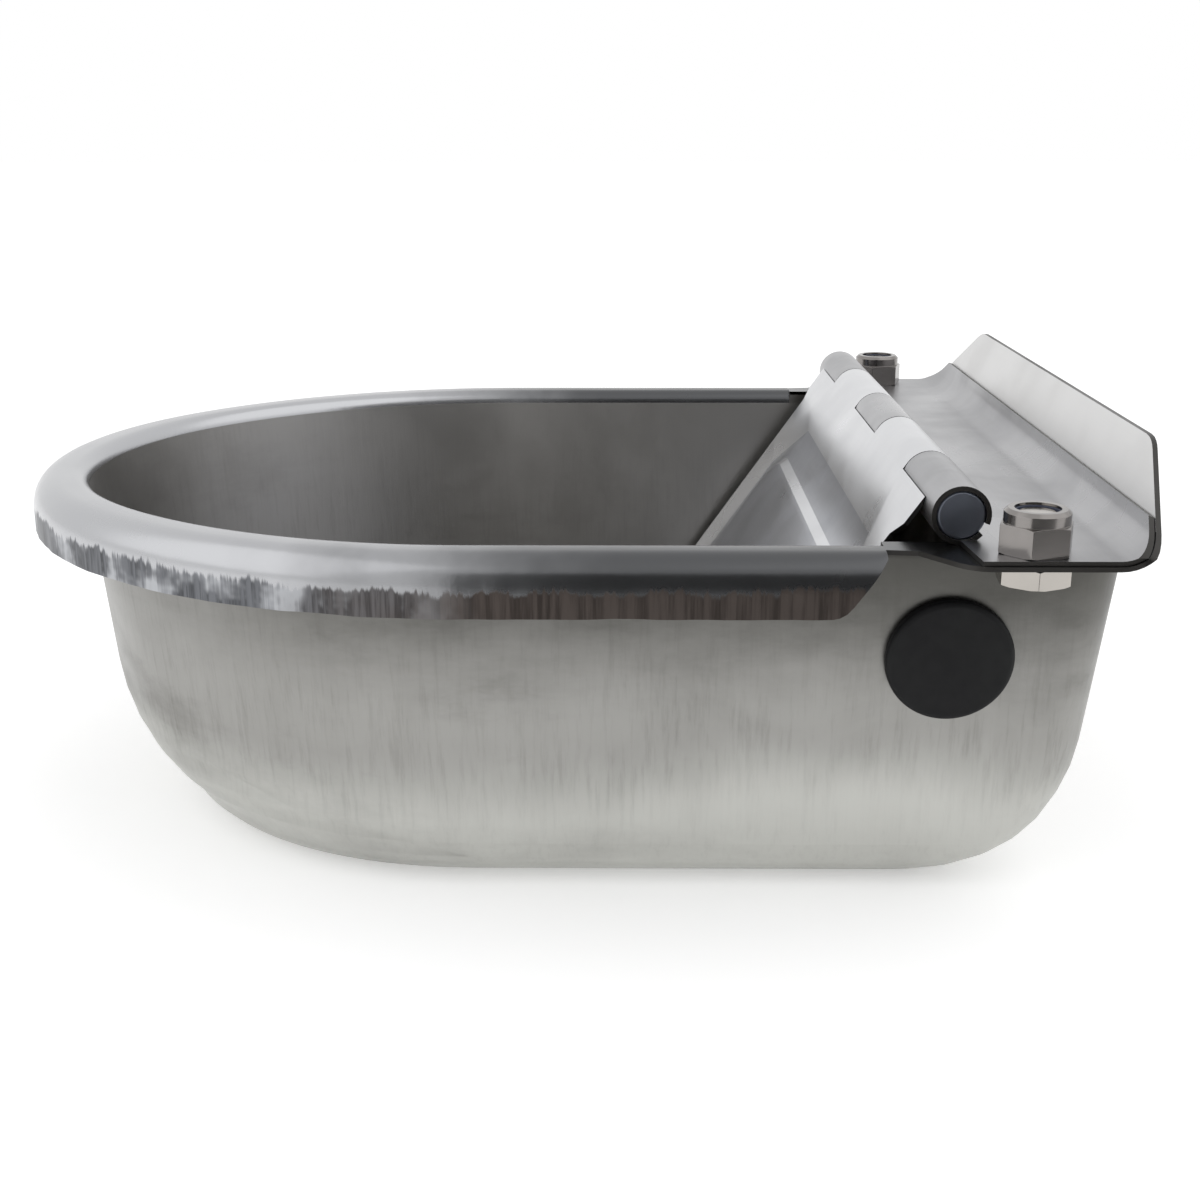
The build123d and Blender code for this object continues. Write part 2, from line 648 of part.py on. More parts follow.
def valve_body():
    """Brass body: threaded shank, collar, barrel with chamber, and two cheeks for the lever."""
    washer_back, collar_back = valve_stations()[:2]
    nut_face = ring_height + shank_nut_height
    body = turned([(shank_bore_radius, shank_length), (shank_radius - shank_chamfer, shank_length),
                   (shank_radius, shank_length - shank_chamfer),
                   (shank_radius, nut_face + shank_groove),
                   (shank_radius - shank_groove, nut_face + shank_groove),
                   (shank_radius - shank_groove, nut_face), (shank_radius, nut_face),
                   (shank_radius, -washer_back),
                   (collar_radius, -washer_back), (collar_radius, -collar_back),
                   (barrel_radius, -collar_back), (barrel_radius, -barrel_end),
                   (chamber_radius, -barrel_end), (chamber_radius, -collar_back),
                   (shank_bore_radius, -collar_back)])
    plane = inlet_plane(-1)
    start = chamber_radius + cheek_root
    for side in (1, -1):
        x = side * (lever_thickness / 2 + free_gap + cheek_thickness / 2)
        mid_z = -(cheek_start + cheek_end) / 2
        cheek = Pos(x, (start + cheek_drop) / 2, mid_z) \
            * Box(cheek_thickness, cheek_drop - start, cheek_end - cheek_start)
        body = body + fillet(cheek.edges().filter_by(Axis.X).sort_by(Axis.Y)[-2:], cheek_fillet)
    pin_hole = Pos(0, pivot_drop, -pivot_depth) * Rot(0, 90, 0) \
        * Cylinder(lever_pin_radius + running_fit, 2 * cut_length)
    tongue_way = Pos(0, barrel_radius, -barrel_end) \
        * Box(lever_thickness + 2 * free_gap, 2 * barrel_radius, tongue_way_length)
    return plane * (body - pin_hole - tongue_way)


def valve_seat():
    """Nozzle pressed into the chamber against the shank."""
    collar_back, seat_back = valve_stations()[1:]
    fit = chamber_radius - seat_fit
    seat = turned([(seat_orifice_radius, -collar_back), (fit, -collar_back),
                   (fit, -seat_back + seat_lip_height), (seat_lip_radius, -seat_back + seat_lip_height),
                   (seat_lip_radius - seat_lip_slope, -seat_back), (seat_orifice_radius, -seat_back)])
    return inlet_plane(-1) * seat


def plunger_face():
    """Distance in from the wall of the seal's face when the valve is open."""
    return valve_stations()[2] + free_gap + plunger_travel()


def valve_plunger():
    """Sliding plunger with a pocket for its seal and a slot for the lever's tongue."""
    bottom = (Align.CENTER, Align.CENTER, Align.MIN)
    radius = chamber_radius - running_fit
    back = plunger_face() + plunger_length
    rod = Pos(0, 0, -back) * Cylinder(radius, plunger_length - free_gap, align=bottom)
    pocket = Pos(0, 0, -plunger_face() - plunger_seal_height) \
        * Cylinder(plunger_seal_radius + skin_gap, cut_length, align=bottom)
    slot_z = -pivot_depth - pivot_drop * sin(lever_travel() / 2)
    slot = Pos(0, radius - plunger_slot_reach, slot_z) \
        * Box(lever_thickness + 2 * free_gap, 2 * radius, plunger_slot_length)
    return inlet_plane(-1) * (rod - pocket - slot)


def plunger_seal():
    """Rubber disc that closes the nozzle."""
    bottom = (Align.CENTER, Align.CENTER, Align.MIN)
    disc = Pos(0, 0, -plunger_face() - plunger_seal_height) \
        * Cylinder(plunger_seal_radius, plunger_seal_height, align=bottom)
    return inlet_plane(-1) * disc


def flat_ring(outer, inner, height, from_z):
    """Flat ring on the valve's axis with its outward face at from_z."""
    bottom = (Align.CENTER, Align.CENTER, Align.MAX)
    ring = Cylinder(outer, height, align=bottom) - Cylinder(inner, height, align=bottom)
    return inlet_plane(-1) * Pos(0, 0, from_z) * ring


def shank_nut():
    """Brass nut that clamps the valve to the wall."""
    nut = hexagon_prism(shank_nut_flats, shank_nut_height)
    nut = nut - Cylinder(shank_radius + running_fit, 3 * shank_nut_height)
    return inlet_plane(-1) * Pos(0, 0, ring_height) * nut


def pivot_point():
    """Centre of the lever pin as (x, z)."""
    plane = inlet_plane(-1)
    point = plane.from_local_coords(Vector(0, pivot_drop, -pivot_depth))
    return point.X, point.Z


def along_arm(distance, radius, length):
    """Cylinder on the float arm's line, starting a distance from the pivot."""
    pivot_x, pivot_z = pivot_point()
    bar = Cylinder(radius, length, align=(Align.CENTER, Align.CENTER, Align.MIN))
    return Pos(pivot_x, inlet_y, pivot_z) * Rot(0, 90 + float_drop_angle, 0) * Pos(0, 0, distance) * bar


def float_lever():
    """Lever: hub on the pin, tongue up into the plunger, boss that takes the float rod."""
    pivot_x, pivot_z = pivot_point()
    hub = Pos(pivot_x, inlet_y, pivot_z) * Rot(90, 0, 0) * Cylinder(lever_hub_radius, lever_thickness)
    tongue = Pos(pivot_x, inlet_y, pivot_z + pivot_drop / 2) \
        * Box(tongue_width, lever_thickness, pivot_drop)
    end = Pos(pivot_x, inlet_y, pivot_z + pivot_drop) * Rot(90, 0, 0) \
        * Cylinder(tongue_tip_radius, lever_thickness)
    neck_length = boss_start + boss_floor
    neck = Pos(pivot_x, inlet_y, pivot_z) * Rot(0, float_drop_angle, 0) \
        * Pos(neck_length / 2, 0, 0) * Box(neck_length, lever_thickness, arm_neck_depth)
    lever = hub + tongue + end + neck + along_arm(boss_start, boss_radius, boss_length)
    bore = along_arm(boss_start + boss_floor, float_rod_radius + running_fit, boss_length)
    pin_hole = Pos(pivot_x, inlet_y, pivot_z) * Rot(90, 0, 0) \
        * Cylinder(lever_pin_radius + running_fit, cut_length)
    return lever - bore - pin_hole - screw_hole(screw_radius + running_fit)


def screw_place():
    """Place of the clamp screw on top of the lever's boss."""
    pivot_x, pivot_z = pivot_point()
    return Pos(pivot_x, inlet_y, pivot_z) * Rot(0, float_drop_angle, 0) \
        * Pos(boss_start + boss_length * screw_share, 0, 0)


def screw_hole(radius):
    """Cylinder across the upper wall of the boss."""
    bottom = (Align.CENTER, Align.CENTER, Align.MIN)
    return screw_place() * Pos(0, 0, float_rod_radius) * Cylinder(radius, boss_radius, align=bottom)


def clamp_screw():
    """Knurled screw that holds the float rod in the boss."""
    bottom = (Align.CENTER, Align.CENTER, Align.MIN)
    shank_length_in = boss_radius - float_rod_radius
    shank = Pos(0, 0, float_rod_radius + skin_gap) * Cylinder(
        screw_radius, shank_length_in - skin_gap + screw_shank_length, align=bottom)
    head = Pos(0, 0, boss_radius + screw_shank_length) \
        * Cylinder(screw_head_radius, screw_head_height, align=bottom)
    return screw_place() * (shank + head)


def lever_pin():
    """Headed pin that the lever turns on, cross-drilled for the split pin."""
    pivot_x, pivot_z = pivot_point()
    half = lever_thickness / 2 + free_gap + cheek_thickness
    bottom = (Align.CENTER, Align.CENTER, Align.MIN)
    shank = Pos(0, 0, -half) * Cylinder(lever_pin_radius, 2 * half + lever_pin_tail, align=bottom)
    head = Pos(0, 0, -half - lever_pin_head_height) \
        * Cylinder(lever_pin_head, lever_pin_head_height, align=bottom)
    cross = Pos(0, 0, half + lever_pin_tail / 2) * Rot(90, 0, 0) \
        * Cylinder(split_pin_radius + running_fit, cut_length)
    return Pos(pivot_x, inlet_y, pivot_z) * Rot(90, 0, 0) * (shank + head - cross)


def split_pin():
    """Split pin through the lever pin's tail."""
    pivot_x, pivot_z = pivot_point()
    half = lever_thickness / 2 + free_gap + cheek_thickness
    leg = Cylinder(split_pin_radius, split_pin_length)
    eye = Cylinder(split_pin_eye_radius + split_pin_radius, 2 * split_pin_radius) \
        - Cylinder(split_pin_eye_radius - split_pin_radius, cut_length)
    eye = Pos(0, 0, split_pin_length / 2 + split_pin_eye_radius) * Rot(0, 90, 0) * eye
    return Pos(pivot_x, inlet_y - half - lever_pin_tail / 2, pivot_z) * (leg + eye)


def float_rod():
    """Threaded rod from the lever through the float."""
    start = boss_start + boss_floor + skin_gap
    end = float_reach + float_length / 2 + float_nut_height + float_rod_overrun
    return along_arm(start, float_rod_radius, end - start)


def valve_float():
    """Hollow plastic float on the end of the rod."""
    start = float_reach - float_length / 2
    body = along_arm(start, float_radius, float_length)
    body = fillet(body.edges().filter_by(GeomType.CIRCLE), float_end_radius)
    return body - along_arm(start - sheet, float_rod_radius + running_fit, float_length + 2 * sheet)


def float_nuts():
    """Two nuts that hold the float on its rod."""
    pivot_x, pivot_z = pivot_point()
    nut = hexagon_prism(float_nut_flats, float_nut_height) \
        - Cylinder(float_rod_radius + running_fit, 3 * float_nut_height)
    starts = [float_reach - float_length / 2 - float_nut_height, float_reach + float_length / 2]
    place = Pos(pivot_x, inlet_y, pivot_z) * Rot(0, 90 + float_drop_angle, 0)
    return Compound(children=[place * Pos(0, 0, start) * nut for start in starts])


def sub_parts():
    """Every node's name with its solid or group of solids."""
    return {
        "bowl_shell": bowl_shell(),
        "hinge_bracket": hinge_bracket(),
        "hinge_rod": hinge_rod(),
        "guard_flap": guard_flap(),
        "flange_bolts": at_both_ears(flange_bolt()),
        "lock_nuts": at_both_ears(lock_nut()),
        "lock_nut_inserts": at_both_ears(lock_nut_insert()),
        "inlet_plug": inlet_plug(),
        "valve_body": valve_body(),
        "inner_seal_washer": flat_ring(washer_radius, washer_bore_radius, washer_height, -sheet),
        "shank_ring": flat_ring(washer_radius, washer_bore_radius, ring_height, ring_height),
        "shank_nut": shank_nut(),
        "valve_seat": valve_seat(),
        "valve_plunger": valve_plunger(),
        "plunger_seal": plunger_seal(),
        "float_lever": float_lever(),
        "lever_pin": lever_pin(),
        "split_pin": split_pin(),
        "clamp_screw": clamp_screw(),
        "float_rod": float_rod(),
        "valve_float": valve_float(),
        "float_nuts": float_nuts(),
    }


def main():
    """Write one STEP file for each sub-part."""
    os.makedirs("parts", exist_ok=True)
    for name, shape in sub_parts().items():
        export_step(shape, f"parts/{name}.step")
    print("hinge axis", round(hinge_y, 3), round(hinge_z, 3))
    print("lever pivot", [round(value, 3) for value in pivot_point()])
    print("lever travel", round(degrees(lever_travel()), 3), "plunger", round(plunger_travel(), 3))
    print("flap length", round(flap_length, 3))


if __name__ == "__main__":
    main()
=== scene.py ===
"""Looks of a livestock drinking bowl: pressed steel bowl, hinged guard flap and float valve.

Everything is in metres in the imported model's frame.  Each sub-assembly is a class that builds its
own meshes, dresses them with a finish and rides them on the body that carries them.
"""

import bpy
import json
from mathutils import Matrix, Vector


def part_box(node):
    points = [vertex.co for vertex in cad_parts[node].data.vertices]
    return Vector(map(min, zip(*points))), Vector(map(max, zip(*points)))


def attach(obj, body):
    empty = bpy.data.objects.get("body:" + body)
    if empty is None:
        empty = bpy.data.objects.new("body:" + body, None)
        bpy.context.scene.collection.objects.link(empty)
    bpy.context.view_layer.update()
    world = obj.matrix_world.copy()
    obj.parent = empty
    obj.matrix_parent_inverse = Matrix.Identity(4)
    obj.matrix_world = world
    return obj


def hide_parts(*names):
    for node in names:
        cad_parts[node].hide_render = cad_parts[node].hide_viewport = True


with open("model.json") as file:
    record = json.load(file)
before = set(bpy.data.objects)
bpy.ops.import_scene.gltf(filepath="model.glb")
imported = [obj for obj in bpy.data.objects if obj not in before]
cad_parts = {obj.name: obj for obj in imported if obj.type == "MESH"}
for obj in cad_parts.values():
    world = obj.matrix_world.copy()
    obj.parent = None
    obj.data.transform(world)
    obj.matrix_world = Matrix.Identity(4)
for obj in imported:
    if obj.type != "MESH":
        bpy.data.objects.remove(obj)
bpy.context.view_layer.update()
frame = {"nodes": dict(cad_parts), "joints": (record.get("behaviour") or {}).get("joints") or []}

import json
import logging
from dataclasses import dataclass, field
from enum import Enum
from math import acos, atan2, cos, hypot, pi, radians, sin, sqrt, tan
from typing import Callable, Optional, Sequence

import bmesh
import bpy
from mathutils import Matrix, Vector, noise

LOG = logging.getLogger("drinking_bowl")
MM = 0.001
SHEET = 1.2 * MM

# Limits for cleaning meshes: metres and degrees.
WELD_GAP = 0.002 * MM
FLAT_TURN = 0.4
EDGE_TURN = 50.0
# A strip as wide as the sheet has at most half of width times perimeter as its area.
STRIP_AREA_SHARE = 0.62
PARALLEL = 0.97
SHEET_TOLERANCE = 0.12

Colour = tuple[float, float, float]
Point = tuple[float, float, float]


# ---------------------------------------------------------------- shader building

class Grain(Enum):
    """Direction in which a sheet's fine marks run."""

    ALONG_X = "along_x"
    ROUND = "round"


# Stretch of a noise along each axis; a small number draws the marks out along it.
EVEN = (1.0, 1.0, 1.0)
GRAIN_STRETCH = {
    Grain.ALONG_X: (14.0, 900.0, 900.0),
    Grain.ROUND: (320.0, 320.0, 320.0),
}


class ShaderTree:
    """Short calls for the nodes of one material."""

    def __init__(self, name: str) -> None:
        """Make an empty material with a Principled shader.

        Args:
            name: the material's name.
        """
        self.material = bpy.data.materials.new(name)
        self.material.use_nodes = True
        self.nodes = self.material.node_tree.nodes
        self.links = self.material.node_tree.links
        self.shader = self.nodes["Principled BSDF"]

    def socket(self, name: str, value: object) -> None:
        """Set or link one input of the shader.

        Args:
            name: the input's name.
            value: a number, a colour or another node's output.
        """
        target = self.shader.inputs[name]
        if isinstance(value, bpy.types.NodeSocket):
            self.links.new(value, target)
        elif isinstance(value, tuple):
            target.default_value = (*value, 1.0)
        else:
            target.default_value = value

    def coords(self, stretch: Sequence[float]) -> bpy.types.NodeSocket:
        """Stretched Object coordinates.

        Args:
            stretch: factor on each axis.

        Returns:
            The vector output.
        """
        source = self.nodes.new("ShaderNodeTexCoord")
        mapping = self.nodes.new("ShaderNodeMapping")
        mapping.inputs["Scale"].default_value = stretch
        self.links.new(source.outputs["Object"], mapping.inputs["Vector"])
        return mapping.outputs["Vector"]

    def noise(self, vector: bpy.types.NodeSocket, scale: float, detail: float, rough: float,
              distortion: float = 0.0) -> bpy.types.NodeSocket:
        """Noise value from 0 to 1.

        Args:
            vector: coordinates.
            scale: noise scale.
            detail: number of octaves.
            rough: weight of the fine octaves.
            distortion: warp of the pattern.

        Returns:
            The value output.
        """
        node = self.nodes.new("ShaderNodeTexNoise")
        node.inputs["Scale"].default_value = scale
        node.inputs["Detail"].default_value = detail
        node.inputs["Roughness"].default_value = rough
        node.inputs["Distortion"].default_value = distortion
        self.links.new(vector, node.inputs["Vector"])
        return node.outputs["Fac"]

    def ramp(self, value: bpy.types.NodeSocket, low: float, high: float,
             to_low: float = 0.0, to_high: float = 1.0) -> bpy.types.NodeSocket:
        """Clamped straight-line map of a value.

        Args:
            value: input value.
            low: input that gives to_low.
            high: input that gives to_high.
            to_low: output at low.
            to_high: output at high.

        Returns:
            The mapped value.
        """
        node = self.nodes.new("ShaderNodeMapRange")
        node.interpolation_type = "SMOOTHSTEP"
        for name, number in (("From Min", low), ("From Max", high),
                             ("To Min", to_low), ("To Max", to_high)):
            node.inputs[name].default_value = number
        self.links.new(value, node.inputs["Value"])
        return node.outputs["Result"]

    def math(self, operation: str, a: object, b: object = 0.0) -> bpy.types.NodeSocket:
        """One Math node.

        Args:
            operation: the node's operation.
            a: first value or socket.
            b: second value or socket.

        Returns:
            The value output.
        """
        node = self.nodes.new("ShaderNodeMath")
        node.operation = operation
        for slot, value in zip(node.inputs, (a, b)):
            if isinstance(value, bpy.types.NodeSocket):
                self.links.new(value, slot)
            else:
                slot.default_value = value
        return node.outputs[0]

    def mix(self, factor: bpy.types.NodeSocket, a: object, b: object) -> bpy.types.NodeSocket:
        """Mix of two colours.

        Args:
            factor: share of b.
            a: colour or socket at 0.
            b: colour or socket at 1.

        Returns:
            The colour output.
        """
        node = self.nodes.new("ShaderNodeMix")
        node.data_type = "RGBA"
        self.links.new(factor, node.inputs["Factor"])
        for slot, value in ((node.inputs[6], a), (node.inputs[7], b)):
            if isinstance(value, bpy.types.NodeSocket):
                self.links.new(value, slot)
            else:
                slot.default_value = (*value, 1.0)
        return node.outputs[2]

    def axis(self, index: int, vector: bpy.types.NodeSocket) -> bpy.types.NodeSocket:
        """One component of a vector.

        Args:
            index: 0, 1 or 2 for x, y or z.
            vector: the vector.

        Returns:
            The component.
        """
        node = self.nodes.new("ShaderNodeSeparateXYZ")
        self.links.new(vector, node.inputs[0])
        return node.outputs[index]

    def bump(self, height: bpy.types.NodeSocket, depth: float) -> None:
        """Bump from a height.

        Args:
            height: height from 0 to 1.
            depth: depth in metres of one unit of height.
        """
        node = self.nodes.new("ShaderNodeBump")
        node.inputs["Strength"].default_value = 1.0
        node.inputs["Distance"].default_value = depth
        self.links.new(height, node.inputs["Height"])
        self.links.new(node.outputs["Normal"], self.shader.inputs["Normal"])


@dataclass(frozen=True)
class SteelFinish:
    """Stainless sheet with fine marks and cloudy stains."""

    name: str
    colour: Colour
    stain: Colour
    roughness: float
    grain: Grain
    stain_share: float = 0.5
    grain_depth: float = 0.000003

    def build(self) -> bpy.types.Material:
        """Make the material.

        Returns:
            The finished material.
        """
        tree = ShaderTree(self.name)
        marks = tree.noise(tree.coords(GRAIN_STRETCH[self.grain]), scale=1.0, detail=4.0, rough=0.6)
        clouds = tree.noise(tree.coords(EVEN), scale=24.0, detail=4.0, rough=0.55, distortion=0.2)
        share = tree.math("MULTIPLY", tree.ramp(clouds, 0.38, 0.72), self.stain_share)
        share = tree.math("ADD", share, tree.ramp(marks, 0.42, 0.7, 0.0, 0.12 * self.stain_share))
        tree.socket("Base Color", tree.mix(share, self.colour, self.stain))
        tree.socket("Metallic", 1.0)
        rough = tree.math("ADD", tree.ramp(clouds, 0.3, 0.7, -0.05, 0.06), self.roughness)
        tree.socket("Roughness", rough)
        tree.bump(marks, self.grain_depth)
        return tree.material


@dataclass(frozen=True)
class PlainFinish:
    """Rubber, plastic, fibre or brass with a soft mottle."""

    name: str
    colour: Colour
    deep: Colour
    roughness: float
    metallic: float = 0.0
    mottle_scale: float = 260.0
    cloud_scale: float = 32.5
    depth: float = 0.00003
    gloss: float = 0.5

    def build(self) -> bpy.types.Material:
        """Make the material.

        Returns:
            The finished material.
        """
        tree = ShaderTree(self.name)
        mottle = tree.noise(tree.coords(EVEN), self.mottle_scale, detail=4.0, rough=0.6)
        cloud = tree.noise(tree.coords(EVEN), self.cloud_scale, detail=3.0, rough=0.55)
        tree.socket("Base Color", tree.mix(tree.ramp(cloud, 0.3, 0.7), self.colour, self.deep))
        tree.socket("Metallic", self.metallic)
        tree.socket("Specular IOR Level", self.gloss)
        tree.socket("Roughness", tree.ramp(mottle, 0.3, 0.7, self.roughness - 0.05,
                                           self.roughness + 0.05))
        tree.bump(mottle, self.depth)
        return tree.material


@dataclass(frozen=True)
class DrawnSteelFinish:
    """Deep-drawn sheet: upright marks, painted shade under the rim, and a lighter band near the floor
    that is partly a stain line and partly painted reflection.

    Heights, places and depths are in metres.
    """

    name: str
    colour: Colour
    mark: Colour
    roughness: float
    # A lighter band near the floor: partly a real stain line, partly painted reflection.
    low_band: Colour
    band_top: float
    # Painted shade on the wall below the rim: its colour, and further down the heights and places
    # over which it fades in.
    shade_under_rim: Colour
    band_blend: float = 0.011
    shade_low_z: float = 0.044
    shade_high_z: float = 0.09
    shade_front_y: float = -0.13
    shade_rear_y: float = -0.02
    mark_depth: float = 0.00004

    def build(self) -> bpy.types.Material:
        """Make the material.

        Returns:
            The finished material.
        """
        tree = ShaderTree(self.name)
        place = tree.coords(EVEN)
        fine = tree.noise(tree.coords((620.0, 620.0, 9.0)), scale=1.0, detail=4.0, rough=0.65)
        broad = tree.noise(tree.coords((55.0, 55.0, 5.0)), scale=1.0, detail=3.0, rough=0.5)
        clouds = tree.noise(place, scale=22.0, detail=6.0, rough=0.65, distortion=0.8)
        marks = tree.math("ADD", tree.ramp(fine, 0.45, 0.75, 0.0, 0.45),
                          tree.ramp(broad, 0.4, 0.75, 0.0, 0.35))
        marks = tree.math("MULTIPLY", marks, tree.ramp(clouds, 0.3, 0.75, 0.35, 1.0))
        smudge = tree.noise(tree.coords((1.0, 0.7, 1.8)), scale=13.0, detail=6.0, rough=0.68)
        marks = tree.math("ADD", marks, tree.ramp(smudge, 0.47, 0.68, 0.0, 0.6))
        body = tree.mix(marks, self.colour, self.mark)
        # Lighter low band: partly a real stain line, partly painted reflection.
        drift = tree.noise(place, scale=14.0, detail=3.0, rough=0.5)
        edge = tree.math("ADD", tree.axis(2, place), tree.ramp(drift, 0.3, 0.7, -0.005, 0.005))
        edge = tree.math("ADD", edge, tree.ramp(fine, 0.35, 0.7, -0.0006, 0.0006))
        band = tree.ramp(edge, self.band_top - self.band_blend, self.band_top + self.band_blend,
                         1.0, 0.0)
        low = tree.mix(tree.math("MULTIPLY", marks, 0.5), self.low_band, self.colour)
        # Painted shade: the wall darkens towards the rim, more so towards the rear, standing for the
        # shadow under the rim's overhang.
        painted_shade = tree.math("ADD", tree.axis(2, place), tree.ramp(smudge, 0.3, 0.7, -0.006, 0.006))
        share = tree.math(
            "MULTIPLY", tree.ramp(painted_shade, self.shade_low_z, self.shade_high_z, 0.0, 0.95),
            tree.ramp(tree.axis(1, place), self.shade_front_y, self.shade_rear_y, 0.4, 1.0))
        body = tree.mix(share, body, self.shade_under_rim)
        tree.socket("Base Color", tree.mix(band, body, low))
        tree.socket("Metallic", 1.0)
        tree.socket("Roughness", tree.ramp(clouds, 0.3, 0.7, self.roughness - 0.05,
                                           self.roughness + 0.06))
        tree.bump(tree.math("ADD", fine, tree.math("MULTIPLY", broad, 2.0)), self.mark_depth)
        return tree.material


@dataclass(frozen=True)
class RimFinish:
    """Rolled rim: satin roll darkened towards the hinge by painted shade for dark reflections, over a
    dark, streaked skirt.

    Heights, places and depths are in metres.
    """

    name: str
    front_roll: Colour
    # The roll's darker colour towards the hinge is painted shade for dark reflections.
    shaded_rear_roll: Colour
    skirt: Colour
    patch: Colour
    stain: Colour
    skirt_top: float
    # Where the roll's painted shade starts, and where the skirt's stain starts.
    shade_start_y: float
    stain_start_y: float
    shade_blend: float = 0.05
    stain_blend: float = 0.03
    roughness: float = 0.25
    skirt_roughness: float = 0.16
    line_depth: float = 0.00003

    def build(self) -> bpy.types.Material:
        """Make the material.

        Returns:
            The finished material.
        """
        tree = ShaderTree(self.name)
        place = tree.coords(EVEN)
        lines = tree.noise(tree.coords((480.0, 480.0, 22.0)), scale=1.0, detail=4.0, rough=0.65)
        clouds = tree.noise(place, scale=26.0, detail=4.0, rough=0.55)
        patches = tree.noise(tree.coords((62.0, 62.0, 80.0)), scale=1.0, detail=3.0, rough=0.5)
        along = tree.math("ADD", tree.axis(1, place), tree.ramp(clouds, 0.3, 0.7, -0.012, 0.012))
        # Painted shade: the roll darkens towards the hinge, standing for dark reflections there.
        painted_shade = tree.ramp(along, self.shade_start_y - self.shade_blend,
                         self.shade_start_y + self.shade_blend)
        roll = tree.mix(painted_shade, self.front_roll, self.shaded_rear_roll)
        aged = tree.ramp(along, self.stain_start_y - self.stain_blend,
                         self.stain_start_y + self.stain_blend)
        dark = tuple(0.45 * c for c in self.skirt)
        front = tree.mix(tree.ramp(lines, 0.4, 0.62), self.skirt, dark)
        spots = tree.math("ADD", patches, tree.math("MULTIPLY", lines, 0.4))
        spots = tree.ramp(spots, 0.66, 0.84)
        front = tree.mix(spots, front, self.patch)
        brown = tree.mix(tree.ramp(lines, 0.4, 0.65), self.stain,
                         tuple(0.55 * c for c in self.stain))
        skirt = tree.mix(aged, front, brown)
        ragged = tree.math("ADD", tree.ramp(lines, 0.35, 0.65, -0.0009, 0.0009),
                           tree.ramp(patches, 0.35, 0.65, -0.0009, 0.0009))
        height = tree.math("ADD", tree.axis(2, place), ragged)
        above = tree.ramp(height, self.skirt_top - 0.0005, self.skirt_top + 0.0009)
        tree.socket("Base Color", tree.mix(above, skirt, roll))
        tree.socket("Metallic", 1.0)
        rough = tree.ramp(above, 0.0, 1.0, self.roughness + self.skirt_roughness, self.roughness)
        tree.socket("Roughness", tree.math("ADD", rough, tree.ramp(clouds, 0.3, 0.7, -0.03, 0.03)))
        tree.bump(lines, self.line_depth)
        return tree.material


# ---------------------------------------------------------------- finishes

# The outside's darker colour under the rim is painted shade; the lighter low bands are partly stain
# lines and partly painted reflection.
OUTSIDE_STEEL = DrawnSteelFinish(
    name="drawn steel outside", colour=(0.345, 0.341, 0.326), mark=(0.205, 0.201, 0.187),
    roughness=0.36, low_band=(0.54, 0.542, 0.513), band_top=0.034, shade_under_rim=(0.088, 0.086, 0.079))
INSIDE_STEEL = DrawnSteelFinish(
    name="drawn steel inside", colour=(0.33, 0.322, 0.312), mark=(0.23, 0.224, 0.215),
    roughness=0.38, low_band=(0.36, 0.352, 0.34), band_top=0.030, shade_under_rim=(0.34, 0.332, 0.322))
# The roll's dark rear colour is painted shade for dark reflections.
RIM_STEEL = RimFinish(
    name="rolled rim steel", front_roll=(0.47, 0.475, 0.49), shaded_rear_roll=(0.10, 0.102, 0.106),
    skirt=(0.16, 0.165, 0.178), patch=(0.43, 0.44, 0.46), stain=(0.092, 0.077, 0.07),
    skirt_top=0.0905, shade_start_y=-0.03, stain_start_y=-0.04)
# The turned-up rear edge is the bowl's own sheet painted much lighter: painted light.
LIT_REAR_EDGE_STEEL = SteelFinish(
    name="lit rear edge steel", colour=(0.69, 0.688, 0.685), stain=(0.60, 0.593, 0.585),
    roughness=0.36, grain=Grain.ALONG_X, stain_share=0.4)
# Near-black cut edges: painted shade for the shadow lines and gaps along the sheet's edges.
SHADED_CUT_EDGE = SteelFinish(
    name="shaded cut sheet edge", colour=(0.06, 0.058, 0.056), stain=(0.035, 0.033, 0.03),
    roughness=0.4, grain=Grain.ROUND)
BRACKET_STEEL = SteelFinish(
    name="satin bracket steel", colour=(0.40, 0.40, 0.41), stain=(0.24, 0.24, 0.25),
    roughness=0.3, grain=Grain.ALONG_X, stain_share=0.5)
FLAP_STEEL = SteelFinish(
    name="satin flap steel", colour=(0.70, 0.705, 0.72), stain=(0.58, 0.585, 0.6),
    roughness=0.3, grain=Grain.ALONG_X, stain_share=0.5)
# The flap's steel painted darker in its sunk field: painted shade in the recess.
SHADED_PANEL_STEEL = SteelFinish(
    name="shaded sunk panel steel", colour=(0.52, 0.53, 0.56), stain=(0.34, 0.35, 0.38),
    roughness=0.32, grain=Grain.ALONG_X, stain_share=0.6)
ROD_STEEL = SteelFinish(
    name="dark bar steel", colour=(0.17, 0.185, 0.22), stain=(0.09, 0.097, 0.115),
    roughness=0.42, grain=Grain.ROUND)
BRIGHT_STEEL = SteelFinish(
    name="bright fastener steel", colour=(0.44, 0.415, 0.385), stain=(0.3, 0.285, 0.26),
    roughness=0.16, grain=Grain.ROUND, stain_share=0.3, grain_depth=0.000008)
